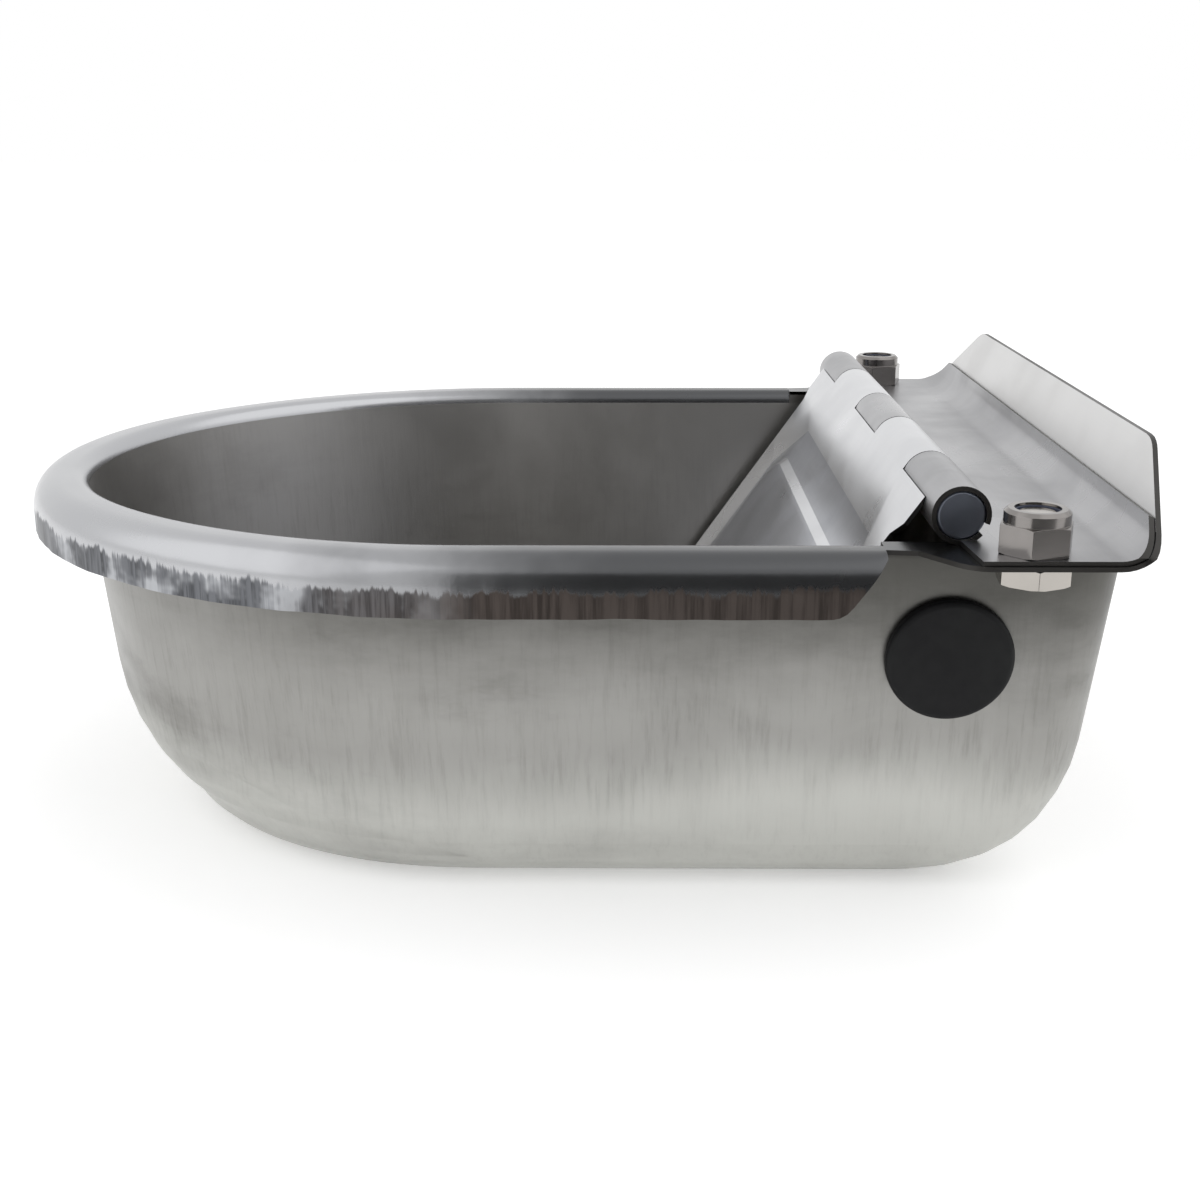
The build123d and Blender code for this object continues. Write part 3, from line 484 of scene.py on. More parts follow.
# A darker copy of the fastener steel for the nuts: painted shade for the dark surroundings they
# reflect.
SHADED_NUT_STEEL = SteelFinish(
    name="shaded lock nut steel", colour=(0.27, 0.255, 0.245), stain=(0.14, 0.13, 0.125),
    roughness=0.17, grain=Grain.ROUND, stain_share=0.5, grain_depth=0.000008)
SMALL_STEEL = SteelFinish(
    name="small stainless parts", colour=(0.66, 0.66, 0.66), stain=(0.5, 0.5, 0.5),
    roughness=0.28, grain=Grain.ROUND, stain_share=0.3)
BLACK_RUBBER = PlainFinish(
    name="black rubber", colour=(0.010, 0.011, 0.011), deep=(0.007, 0.007, 0.008),
    roughness=0.55, gloss=0.2)
SEAL_RUBBER = PlainFinish(
    name="seal rubber", colour=(0.03, 0.03, 0.03), deep=(0.02, 0.02, 0.02), roughness=0.6)
DARK_NYLON = PlainFinish(
    name="dark nylon", colour=(0.035, 0.045, 0.08), deep=(0.025, 0.03, 0.06), roughness=0.4)
TURNED_BRASS = PlainFinish(
    name="turned brass", colour=(0.72, 0.53, 0.25), deep=(0.62, 0.44, 0.2), roughness=0.3,
    metallic=1.0)
RED_FIBRE = PlainFinish(
    name="red fibre", colour=(0.40, 0.10, 0.08), deep=(0.3, 0.08, 0.06), roughness=0.7)
FLOAT_PLASTIC = PlainFinish(
    name="moulded float plastic", colour=(0.80, 0.80, 0.76), deep=(0.74, 0.74, 0.7),
    roughness=0.42)

Finish = SteelFinish | PlainFinish | DrawnSteelFinish | RimFinish


def make_materials(*finishes: Finish) -> list[bpy.types.Material]:
    """Make the materials of some finishes.

    Args:
        finishes: the finishes, in order.

    Returns:
        Their materials, in the same order.
    """
    return [finish.build() for finish in finishes]


# ---------------------------------------------------------------- mesh building

def add_object(name: str, data: bpy.types.ID) -> bpy.types.Object:
    """Put a new object in the scene.

    Args:
        name: the object's name.
        data: its mesh, lamp or camera.

    Returns:
        The object.
    """
    made = bpy.data.objects.new(name, data)
    bpy.context.scene.collection.objects.link(made)
    return made


class MeshDraft:
    """Vertices and faces gathered before they become one object."""

    def __init__(self) -> None:
        """Start with nothing."""
        self.points: list[Point] = []
        self.faces: list[tuple[list[int], int]] = []

    def grid(self, rows: Sequence[Sequence[Point]], material: int, wrap: bool = False,
             flip: bool = False, skip: Optional[Callable[[int, int], bool]] = None
             ) -> list[list[int]]:
        """Add a grid of quads.

        Args:
            rows: rows of points in millimetres, all of one length.
            material: index of the material slot.
            wrap: join the last column to the first.
            flip: turn the faces over.
            skip: says which (row, column) quads are left out.

        Returns:
            The grid's vertex numbers, row by row.
        """
        numbers = []
        for row in rows:
            numbers.append([len(self.points) + k for k in range(len(row))])
            self.points.extend(row)
        count = len(rows[0])
        for i in range(len(rows) - 1):
            for k in range(count if wrap else count - 1):
                if skip and skip(i, k):
                    continue
                nxt = (k + 1) % count
                loop = [numbers[i][k], numbers[i][nxt], numbers[i + 1][nxt], numbers[i + 1][k]]
                self.faces.append((loop[::-1] if flip else loop, material))
        return numbers

    def strip(self, first: Sequence[int], second: Sequence[int], material: int,
              flip: bool = False) -> None:
        """Join two equal lines of vertices with quads.

        Args:
            first: vertex numbers of one line.
            second: vertex numbers of the other.
            material: index of the material slot.
            flip: turn the faces over.
        """
        for k in range(len(first) - 1):
            loop = [first[k], first[k + 1], second[k + 1], second[k]]
            self.faces.append((loop[::-1] if flip else loop, material))

    def plate(self, outer: Sequence[Sequence[Point]], inner: Sequence[Sequence[Point]],
              material: int, edge: int) -> None:
        """Add a closed sheet from its two skins, with faces all round its border.

        Args:
            outer: rows of points of one skin, seen anticlockwise.
            inner: the other skin, same layout.
            material: index of the skins' material slot.
            edge: index of the border's material slot.
        """
        a = self.grid(outer, material)
        b = self.grid(inner, material, flip=True)
        self.strip(a[0], b[0], edge, flip=True)
        self.strip(a[-1], b[-1], edge)
        self.strip([row[0] for row in a], [row[0] for row in b], edge)
        self.strip([row[-1] for row in a], [row[-1] for row in b], edge, flip=True)

    def build(self, name: str, materials: Sequence[bpy.types.Material],
              sharp: float) -> bpy.types.Object:
        """Make the object, scaled to metres.

        Args:
            name: the object's name.
            materials: its material slots.
            sharp: edges that turn more than this many degrees stay sharp.

        Returns:
            The object.
        """
        mesh = bpy.data.meshes.new(name)
        work = bmesh.new()
        verts = [work.verts.new(Vector(p) * MM) for p in self.points]
        for loop, material in self.faces:
            if len(set(loop)) < 3:
                continue
            try:
                face = work.faces.new([verts[n] for n in loop])
            except ValueError:
                continue
            face.material_index = material
        bmesh.ops.remove_doubles(work, verts=work.verts, dist=WELD_GAP)
        loose = [v for v in work.verts if not v.link_faces]
        bmesh.ops.delete(work, geom=loose, context="VERTS")
        mark_sharp(work, sharp)
        work.to_mesh(mesh)
        work.free()
        piece = add_object(name, mesh)
        for material in materials:
            mesh.materials.append(material)
        return piece


def mark_sharp(work: bmesh.types.BMesh, limit: float) -> None:
    """Smooth every face and keep the edges sharp that turn more than the limit.

    Args:
        work: the mesh.
        limit: angle in degrees.
    """
    for face in work.faces:
        face.smooth = True
    for edge in work.edges:
        if len(edge.link_faces) == 2:
            edge.smooth = edge.calc_face_angle(0.0) < radians(limit)
        else:
            edge.smooth = False


def is_cut_edge(face: bmesh.types.BMFace, sheet: float) -> bool:
    """Whether a face is a cut edge of a sheet: two sharp, parallel sides one thickness apart.

    Args:
        face: the face.
        sheet: the sheet's thickness in metres.

    Returns:
        True for a cut edge.
    """
    if face.calc_area() > STRIP_AREA_SHARE * sheet * face.calc_perimeter():
        return False
    sides = [edge for edge in face.edges
             if len(edge.link_faces) == 2 and edge.calc_face_angle(0.0) > radians(EDGE_TURN)]
    for number, edge in enumerate(sides):
        start = edge.verts[0].co
        along = (edge.verts[1].co - start).normalized()
        for other in sides[number + 1:]:
            line = other.verts[1].co - other.verts[0].co
            if abs(line.normalized().dot(along)) < PARALLEL:
                continue
            offset = (other.verts[0].co + other.verts[1].co) / 2 - start
            apart = (offset - along * offset.dot(along)).length
            if abs(apart - sheet) < SHEET_TOLERANCE * sheet:
                return True
    return False


def smooth_copy(node: str, name: str, material: bpy.types.Material, sharp: float,
                bevel: float, keep: Optional[Callable[[Vector], bool]] = None,
                shaded_edge_material: Optional[bpy.types.Material] = None,
                shaded_sunk_material: Optional[bpy.types.Material] = None,
                is_sunk: Optional[Callable[[bmesh.types.BMFace], bool]] = None
                ) -> bpy.types.Object:
    """Merged and smoothly shaded copy of a CAD node's mesh.

    Args:
        node: the CAD node.
        name: the new object's name.
        material: its material.
        sharp: edges that turn more than this many degrees stay sharp.
        bevel: width of the rounding on sharp edges, in metres.
        keep: says which faces stay, from their middle; all if left out.
        shaded_edge_material: material of the sheet's cut edges, if it has any.
        shaded_sunk_material: material of the faces in a sunk field, if it has any.
        is_sunk: says which faces lie in the sunk field.

    Returns:
        The copy.
    """
    source = frame["nodes"][node].data
    work = bmesh.new()
    verts = [work.verts.new(v.co) for v in source.vertices]
    for polygon in source.polygons:
        try:
            work.faces.new([verts[n] for n in polygon.vertices])
        except ValueError:
            continue
    bmesh.ops.remove_doubles(work, verts=work.verts, dist=WELD_GAP)
    if keep:
        drop = [f for f in work.faces if not keep(f.calc_center_median())]
        bmesh.ops.delete(work, geom=drop, context="FACES")
    bmesh.ops.dissolve_limit(work, angle_limit=radians(FLAT_TURN), verts=work.verts, edges=work.edges)
    mark_sharp(work, sharp)
    # Cut edges get near-black painted shade; the sunk field gets the darker painted shade of a
    # recess.
    if shaded_edge_material:
        for face in work.faces:
            face.material_index = int(is_cut_edge(face, SHEET))
            if is_sunk and is_sunk(face):
                face.material_index = 2
    mesh = bpy.data.meshes.new(name)
    work.to_mesh(mesh)
    work.free()
    piece = add_object(name, mesh)
    mesh.materials.append(material)
    for extra in (shaded_edge_material, shaded_sunk_material):
        if extra:
            mesh.materials.append(extra)
    rounding = piece.modifiers.new("edge rounding", "BEVEL")
    rounding.width = bevel
    rounding.segments = 2
    rounding.limit_method = "ANGLE"
    rounding.angle_limit = radians(sharp)
    rounding.harden_normals = True
    return piece


def between(a: Point, b: Point) -> Point:
    """Point halfway between two others."""
    return ((a[0] + b[0]) / 2, (a[1] + b[1]) / 2, (a[2] + b[2]) / 2)


def stand_for(piece: bpy.types.Object, node: str, slot: str, body: str) -> bpy.types.Object:
    """Let a piece replace a CAD node and ride on its body.

    Args:
        piece: the piece.
        node: the CAD node that it stands for.
        slot: the record's material slot; not used.
        body: the body that carries it.

    Returns:
        The piece.
    """
    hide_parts(node)
    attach(piece, body)
    LOG.info("%s stands for %s on %s", piece.name, node, body)
    return piece


# ---------------------------------------------------------------- bowl

@dataclass
class BowlShell:
    """Drawn bowl with its rolled rim, bolt ears and turned-up rear edge; sizes in millimetres."""

    # Body.
    sheet: float = SHEET / MM
    half_width: float = 109.5
    top_z: float = 94.7
    lean: float = 5.5
    centre_y: float = -16.7
    front: float = 122.2
    shoulder_shift: float = 20.5
    rear_y: float = 147.0
    side_radius: float = 22.0
    end_radius: float = 47.0
    corner: float = 14.0

    # Rolled rim and its skirt.
    rim_bend: float = 3.0
    rim_flat: float = 3.5
    roll: float = 8.0
    skirt: float = 7.0
    skirt_end_y: float = 74.6
    skirt_cut_run: float = 10.2
    skirt_fillet: float = 6.0

    # Wrinkles of the skirt and waves of its edge: their depths and the lengths between them.
    wrinkle: float = 0.22
    wrinkle_length: float = 5.0
    fine_wrinkle_share: float = 0.5
    fine_wrinkle_length: float = 3.0
    fine_wrinkle_height: float = 9.0
    edge_wave: float = 0.35
    edge_wave_length: float = 14.0

    # Bolt ears.
    ear_half: float = 131.0
    ear_start_y: float = 92.5
    ear_full_y: float = 102.6
    ear_step: float = 1.0
    ear_fillet: float = 10.0

    # Turned-up rear edge.
    bend_y: float = 136.6
    bend_radius: float = 11.0
    rear_lean: float = 20.0
    rear_top_z: float = 122.3
    rear_top_half: float = 96.0
    rear_end_rise: float = 2.0
    rear_top_fillet: float = 15.0

    # Fixing holes in the rear wall: only points this near to it count, and a hole's border is
    # drawn onto its circle from this share of the radius outwards.
    fixing_x: float = 55.0
    fixing_z: float = 76.0
    fixing_radius: float = 4.5
    fixing_reach: float = 12.0
    snap_share: float = 0.55

    # Columns round the plan, 1 mm apart for fixing_spread on each side of a fixing hole.
    column_step: float = 1.6
    shoulder_run: float = 106.0
    nose_run: float = 142.0
    rear_columns: int = 6
    corner_columns: int = 8
    rear_wall_columns: tuple[float, ...] = (0.0, 22.0, 38.0, 80.0)
    fixing_spread: int = 7

    # Rows of the body and of the rim.
    wall_rows: tuple[float, ...] = (50.0, 56.0, 62.0, 67.0, 86.0, 90.0)
    end_bend_rows: int = 9
    side_bend_rows: int = 6
    least_row_gap: float = 0.25
    bend_steps: int = 5
    roll_steps: int = 16
    collar_rows: int = 3

    # Rows and columns of the ears and the rear edge.
    ear_seam: float = 0.25
    flare_end_y: float = 112.0
    flare_rows: int = 16
    ear_rows: tuple[float, ...] = (118.0, 126.0)
    ear_columns: int = 6
    rear_bend_rows: int = 8
    rear_edge_rows: int = 14
    rear_edge_columns: int = 24
    rear_edge_crowding: float = 1.6

    # Edges that turn more than this many degrees stay sharp.
    sharp: float = 38.0

    materials: list[bpy.types.Material] = field(default_factory=list)

    OUTSIDE, INSIDE, RIM, EARS, CUT = range(5)

    # -- plan and section ------------------------------------------------------------

    def reach(self, top: float, floor_radius: float, z: float, skin: float) -> float:
        """Distance of a wall from the middle at a height.

        Args:
            top: distance at the top of the wall.
            floor_radius: bend to the floor.
            z: height.
            skin: distance in from the outer face.

        Returns:
            The distance.
        """
        draft = radians(self.lean)
        knee = floor_radius * (1 - sin(draft))
        base = top - (self.top_z - knee) * tan(draft) - floor_radius * cos(draft)
        bend = floor_radius - skin
        if z >= floor_radius - bend * sin(draft):
            return top - (self.top_z - z) * tan(draft) - skin / cos(draft)
        return base + sqrt(max(bend ** 2 - (floor_radius - z) ** 2, 0.0))

    def plan(self, half: float, front: float, rear: float, corner: float, leg: int,
             share: float) -> tuple[float, float, float, float]:
        """Point and outward normal on the D-shaped plan.

        Args:
            half: half the width.
            front: distance from the centre line of the sides to the nose.
            rear: y of the rear wall.
            corner: radius of the rear corners.
            leg: which of the eight stretches, from the right side round the front.
            share: place along the stretch, 0 to 1.

        Returns:
            x, y and the normal's x and y.
        """
        if leg in (3, 4, 5):
            x, y, nx, ny = self.plan(half, front, rear, corner, {3: 1, 4: 0, 5: 7}[leg], 1 - share)
            return -x, y, -nx, ny
        spare = half + self.shoulder_shift - front
        step = (self.shoulder_shift ** 2 + spare ** 2) / (2 * spare)
        turn = acos(self.shoulder_shift / step)
        shoulder = half + self.shoulder_shift
        nose = shoulder - step
        nose_y = self.centre_y - sqrt(step ** 2 - self.shoulder_shift ** 2)
        if leg == 0:
            start = rear - corner
            return half, start + (self.centre_y - start) * share, 1.0, 0.0
        if leg == 1:
            angle = turn * share
            return (shoulder * cos(angle) - self.shoulder_shift,
                    self.centre_y - shoulder * sin(angle), cos(angle), -sin(angle))
        if leg == 2:
            angle = turn + (pi - 2 * turn) * share
            return nose * cos(angle), nose_y - nose * sin(angle), cos(angle), -sin(angle)
        if leg == 6:
            return (half - corner) * (2 * share - 1), rear, 0.0, 1.0
        angle = pi / 2 * (1 - share)
        return (half - corner + corner * cos(angle), rear - corner + corner * sin(angle),
                cos(angle), sin(angle))

    def stations(self) -> tuple[list[tuple[int, float]], int, int]:
        """Columns round the plan: fine along the rim, coarse behind it.

        Returns:
            (leg, share) of each column, then the first and the last column of the rim.
        """
        side_end = self.skirt_end_y + self.skirt_cut_run
        start = self.rear_y - self.corner
        length = start - self.centre_y
        rear_part = [start - (start - side_end) * k / self.rear_columns
                     for k in range(self.rear_columns)]
        fine = int((side_end - self.centre_y) / self.column_step)
        rim_part = [side_end - (side_end - self.centre_y) * k / fine for k in range(fine)]
        shares = [(start - y) / length for y in rear_part + rim_part]
        shoulder = int(self.shoulder_run / self.column_step)
        arcs = {1: shoulder, 2: int(self.nose_run / self.column_step), 3: shoulder}
        columns = [(0, share) for share in shares]
        for leg in (1, 2, 3):
            columns += [(leg, k / arcs[leg]) for k in range(arcs[leg])]
        columns += [(4, 1 - share) for share in [1.0] + shares[:0:-1]]
        corner = [k / self.corner_columns for k in range(self.corner_columns)]
        rear = self.rear_shares()
        columns += [(5, share) for share in corner]
        columns += [(6, share) for share in rear]
        columns += [(7, share) for share in corner]
        last = len(columns) - 2 * self.corner_columns - len(rear) - self.rear_columns
        return columns, self.rear_columns, last

    def rear_shares(self) -> list[float]:
        """Places of the columns across the rear wall, close together at the fixing holes.

        Returns:
            Each column's share of the rear leg.
        """
        edge = self.half_width - self.corner
        spread = self.fixing_spread
        right = [*self.rear_wall_columns, *(self.fixing_x + k for k in range(-spread, spread + 1))]
        places = sorted({-edge, *right, *(-x for x in right)})
        return [(x / edge + 1) / 2 for x in places]

    def levels(self) -> list[float]:
        """Heights of the body's rows, close together in the bends and at the fixing holes.

        Returns:
            The heights, rising.
        """
        draft = radians(self.lean)
        levels = {0.0, self.top_z, *self.wall_rows}
        for radius, steps in ((self.end_radius, self.end_bend_rows),
                              (self.side_radius, self.side_bend_rows)):
            for k in range(1, steps + 1):
                levels.add(radius * (1 - cos((pi / 2 - draft) * k / steps)))
        levels.update(self.fixing_z + k for k in range(1 - self.fixing_spread, self.fixing_spread))
        rows = sorted(levels)
        return [z for i, z in enumerate(rows) if i == 0 or z - rows[i - 1] > self.least_row_gap]

    def body_row(self, z: float, skin: float, columns: Sequence[tuple[int, float]]) -> list[Point]:
        """Points of one level row of the body.

        Args:
            z: height of the outer skin's row.
            skin: distance in from the outer face.
            columns: the columns' places.

        Returns:
            The points.
        """
        height = z if skin == 0 else self.sheet + z * (1 - self.sheet / self.top_z)
        half = self.reach(self.half_width, self.side_radius, height, skin)
        front = self.reach(self.front, self.end_radius, height, skin)
        rear = self.reach(self.rear_y, self.end_radius, height, skin)
        return [(*self.plan(half, front, rear, self.corner - skin, leg, share)[:2], height)
                for leg, share in columns]

    # -- rim ---------------------------------------------------------------------------

    def skirt_end_z(self, y: float) -> float:
        """Height of the skirt's lower edge, which is cut back towards the ears.

        Args:
            y: place along the bowl.

        Returns:
            The height.
        """
        bottom = self.top_z + self.rim_bend + self.sheet - self.roll - self.skirt
        rise = self.top_z + self.rim_bend - bottom
        slope = atan2(rise, self.skirt_cut_run)
        tangent = self.skirt_fillet * tan(slope / 2)
        start = self.skirt_end_y - tangent
        if y <= start:
            return bottom
        if y < self.skirt_end_y + tangent * cos(slope):
            run = y - start
            return bottom + self.skirt_fillet - sqrt(self.skirt_fillet ** 2 - run ** 2)
        return bottom + (y - self.skirt_end_y) * tan(slope)

    def rim_section(self, skin: float, end_z: float) -> list[tuple[float, float]]:
        """Section of the rim as (outward, height) points, from the wall to the skirt's edge.

        Args:
            skin: 0 for the upper skin, the sheet's thickness for the lower one.
            end_z: height of the skirt's edge.

        Returns:
            The points, always as many.
        """
        crest = self.rim_bend + self.rim_flat
        bend = self.rim_bend + self.sheet - skin
        roll = self.roll - skin
        roll_z = self.top_z + self.rim_bend + self.sheet - self.roll
        points = []
        for k in range(self.bend_steps + 1):
            angle = pi - pi / 2 * k / self.bend_steps
            points.append((self.rim_bend + bend * cos(angle), self.top_z + bend * sin(angle)))
        points.append((self.rim_bend + self.rim_flat / 2, roll_z + roll))
        arc = roll * pi / 2
        end_angle = acos(max(min((end_z - roll_z) / roll, 1.0), 0.0)) if end_z > roll_z else pi / 2
        total = roll * end_angle + max(roll_z - end_z, 0.0)
        for k in range(self.roll_steps + 1):
            run = total * k / self.roll_steps
            if run <= arc:
                angle = run / roll
                points.append((crest + roll * sin(angle), roll_z + roll * cos(angle)))
            else:
                points.append((crest + roll, roll_z - (run - arc)))
        return points

    def rim_rows(self, skin: float, columns: Sequence[tuple[int, float]]) -> list[list[Point]]:
        """Rows of points of the rim's upper or lower skin.

        Args:
            skin: 0 for the upper skin, the sheet's thickness for the lower one.
            columns: the columns' places.

        Returns:
            The rows, from the wall to the skirt's edge.
        """
        lines = []
        run = 0.0
        previous: Optional[tuple[float, float]] = None
        for leg, share in columns:
            x, y, nx, ny = self.plan(self.half_width, self.front, self.rear_y, self.corner,
                                     leg, share)
            if previous:
                run += hypot(x - previous[0], y - previous[1])
            previous = (x, y)
            end_z = self.skirt_end_z(y)
            ripple = noise.noise(Vector((run / self.wrinkle_length, 0.0, 3.0)))
            end_z += self.edge_wave * noise.noise(Vector((run / self.edge_wave_length, 5.0, 0.0)))
            line = []
            for out, z in self.rim_section(skin, end_z):
                low = min(max((self.top_z - z) / self.skirt, 0.0), 1.0)
                fine = noise.noise(Vector((run / self.fine_wrinkle_length,
                                           z / self.fine_wrinkle_height, 1.0)))
                out += self.wrinkle * low * (ripple + self.fine_wrinkle_share * fine)
                line.append((x + nx * out, y + ny * out, z))
            lines.append(line)
        return [list(row) for row in zip(*lines)]

    # -- ears and rear edge --------------------------------------------------------------

    def ear_width(self, y: float, z: float) -> float:
        """Half width of the flange sheet at a place on it.

        Args:
            y: place along the bowl.
            z: height, which matters on the turned-up rear edge.

        Returns:
            The half width.
        """
        crest = self.half_width + self.rim_bend + self.rim_flat
        start = crest + self.ear_step
        if y < self.ear_start_y:
            share = (y - (self.skirt_end_y + self.skirt_cut_run)) \
                / (self.ear_start_y - self.skirt_end_y - self.skirt_cut_run)
            return crest + self.ear_step * max(share, 0.0)
        slope = atan2(self.ear_half - start, self.ear_full_y - self.ear_start_y)
        tangent = self.ear_fillet * tan(slope / 2)
        width = start + (y - self.ear_start_y) * tan(slope)
        first = self.ear_full_y - tangent * cos(slope)
        if first < y < self.ear_full_y + tangent:
            run = self.ear_full_y + tangent - y
            width = self.ear_half - self.ear_fillet + sqrt(self.ear_fillet ** 2 - run ** 2)
        elif y >= self.ear_full_y:
            width = self.ear_half
        return min(width, self.rear_width(z))

    def rear_width(self, z: float) -> float:
        """Half width of the turned-up rear edge.

        Args:
            z: height.

        Returns:
            The half width.
        """
        foot_z = self.top_z + self.rim_bend + self.sheet + self.rear_end_rise
        spread = (self.ear_half - self.rear_top_half) / (self.rear_top_z - foot_z)
        slope = atan2(1.0, spread)
        tangent = self.rear_top_fillet * tan(slope / 2)
        if z > self.rear_top_z - tangent * sin(slope):
            rise = z - (self.rear_top_z - self.rear_top_fillet)
            return self.rear_top_half - tangent \
                + sqrt(max(self.rear_top_fillet ** 2 - rise ** 2, 0.0))
        return min(self.rear_top_half + spread * (self.rear_top_z - z), self.ear_half)

    def strip_place(self, skin: float, turn: float) -> tuple[float, float]:
        """Place on the bend of the rear edge.

        Args:
            skin: distance in from the bend's outer face.
            turn: angle from the level part, in radians.

        Returns:
            y and z.
        """
        radius = self.bend_radius - skin
        centre_z = self.top_z + self.rim_bend + self.bend_radius
        return self.bend_y + radius * sin(turn), centre_z - radius * cos(turn)

    def inner_edge(self, y: float) -> float:
        """Inner face of the right wall at its top.

        Args:
            y: place along the bowl.

        Returns:
            The face's x.
        """
        half, rear = self.half_width - self.sheet, self.rear_y - self.sheet
        corner = self.corner - self.sheet
        if y <= rear - corner:
            return half
        return half - corner + sqrt(max(corner ** 2 - (y - rear + corner) ** 2, 0.0))

    def add_ears(self, draft: MeshDraft) -> None:
        """Add both ears and the rear edge's ends, up to the end of its bend.

        Args:
            draft: the mesh being made.
        """
        flange = self.top_z + self.rim_bend
        side_end = self.skirt_end_y + self.skirt_cut_run
        level = [side_end, side_end + self.ear_seam, self.ear_start_y]
        level += [self.ear_start_y + (self.flare_end_y - self.ear_start_y) * k / self.flare_rows
                  for k in range(1, self.flare_rows + 1)]
        level += [*self.ear_rows, self.bend_y]
        turn_end = pi / 2 - radians(self.rear_lean)
        for side in (1, -1):
            skins = []
            for skin in (0.0, self.sheet):
                places = [(y, flange + skin) for y in level]
                places += [self.strip_place(skin, turn_end * k / self.rear_bend_rows)
                           for k in range(1, self.rear_bend_rows + 1)]
                rows = []
                for y, z in places:
                    lead_y = min(y, self.rear_y - self.sheet)
                    first, last = self.inner_edge(lead_y), self.ear_width(y, z)
                    rows.append([(side * (first + (last - first) * k / self.ear_columns), y, z)
                                 for k in range(self.ear_columns + 1)])
                skins.append(rows)
            outer, inner = skins[::-1] if side > 0 else skins
            draft.plate(outer, inner, self.RIM, self.CUT)

    def add_rear_edge(self, draft: MeshDraft) -> None:
        """Add the straight, leaning part of the rear edge.

        Args:
            draft: the mesh being made.
        """
        lean = radians(self.rear_lean)
        skins = []
        for skin in (0.0, self.sheet):
            start_y, start_z = self.strip_place(skin, pi / 2 - lean)
            rise = self.rear_top_z - start_z
            rows = []
            for k in range(self.rear_edge_rows + 1):
                share = 1 - (1 - k / self.rear_edge_rows) ** self.rear_edge_crowding
                z = start_z + rise * share
                y = start_y + (z - start_z) * tan(lean)
                width = self.rear_width(z)
                rows.append([(width * (2 * n / self.rear_edge_columns - 1), y, z)
                             for n in range(self.rear_edge_columns + 1)])
            skins.append(rows)
        draft.plate(skins[1], skins[0], self.EARS, self.CUT)

    # -- all of it -----------------------------------------------------------------------

    def in_fixing_hole(self, point: Point) -> bool:
        """Whether a point of the body lies inside a fixing hole.

        Args:
            point: the point.

        Returns:
            True inside a hole of the rear wall.
        """
        x, y, z = point
        away = hypot(abs(x) - self.fixing_x, z - self.fixing_z)
        return y > self.rear_y - self.fixing_reach and away < self.fixing_radius

    def add_body(self, draft: MeshDraft, columns: Sequence[tuple[int, float]]) -> None:
        """Add the body's two skins, its floor and the edges of the fixing holes.

        Args:
            draft: the mesh being made.
            columns: the columns' places.
        """
        levels = self.levels()
        count = len(columns)
        skins = []
        for skin in (0.0, self.sheet):
            rows = [self.body_row(z, skin, columns) for z in levels]
            holes = [[self.in_fixing_hole(between(rows[i][k], rows[i + 1][(k + 1) % count]))
                      for k in range(count)] for i in range(len(levels) - 1)]
            flip = skin == 0.0
            slot = self.INSIDE if skin else self.OUTSIDE
            numbers = draft.grid(rows, slot, wrap=True, flip=flip, skip=lambda i, k: holes[i][k])
            draft.faces.append((numbers[0] if flip else numbers[0][::-1], slot))
            skins.append((numbers, holes))
        outer, holes = skins[0]
        inner = skins[1][0]
        for i, line in enumerate(holes):
            for k, gone in enumerate(line):
                if not gone:
                    continue
                nxt = (k + 1) % count
                around = ((i, k - 1, (i, k), (i + 1, k)), (i, nxt, (i + 1, nxt), (i, nxt)),
                          (i - 1, k, (i, nxt), (i, k)), (i + 1, k, (i + 1, k), (i + 1, nxt)))
                for row, column, a, b in around:
                    if not holes[row][column]:
                        draft.faces.append(([outer[a[0]][a[1]], outer[b[0]][b[1]],
                                             inner[b[0]][b[1]], inner[a[0]][a[1]]], self.CUT))
        for numbers in (outer, inner):
            for i, line in enumerate(holes):
                for k, gone in enumerate(line):
                    if gone:
                        for a, b in ((i, k), (i + 1, k), (i, (k + 1) % count),
                                     (i + 1, (k + 1) % count)):
                            self.snap_to_hole(draft, numbers[a][b])

    def snap_to_hole(self, draft: MeshDraft, number: int) -> None:
        """Move a vertex of a fixing hole's border onto its circle.

        Args:
            draft: the mesh being made.
            number: the vertex.
        """
        x, y, z = draft.points[number]
        side = 1 if x > 0 else -1
        dx, dz = x - side * self.fixing_x, z - self.fixing_z
        away = max(hypot(dx, dz), 1e-6)
        scale = self.fixing_radius / away
        if away > self.fixing_radius * self.snap_share:
            draft.points[number] = (side * self.fixing_x + dx * scale, y,
                                    self.fixing_z + dz * scale)

    def add_collar(self, draft: MeshDraft, columns: Sequence[tuple[int, float]]) -> None:
        """Add the upright collar behind the rim, up to the ears and the rear edge.

        Args:
            draft: the mesh being made.
            columns: places of the columns behind the rim, from left to right round the rear.
        """
        flange = self.top_z + self.rim_bend
        for skin in (0.0, self.sheet):
            rows: list[list[Point]] = [[] for _ in range(self.collar_rows + 1)]
            for leg, share in columns:
                x, y, _, _ = self.plan(self.half_width - skin, self.front - skin,
                                       self.rear_y - skin, self.corner - skin, leg, share)
                radius = self.bend_radius - skin
                run = min(max(y - self.bend_y, 0.0), radius * cos(radians(self.rear_lean)))
                top = flange + self.bend_radius - sqrt(radius ** 2 - run ** 2)
                for k, row in enumerate(rows):
                    row.append((x, y, self.top_z + (top - self.top_z) * k / self.collar_rows))
            draft.grid(rows, self.INSIDE if skin else self.OUTSIDE, flip=skin == 0.0)

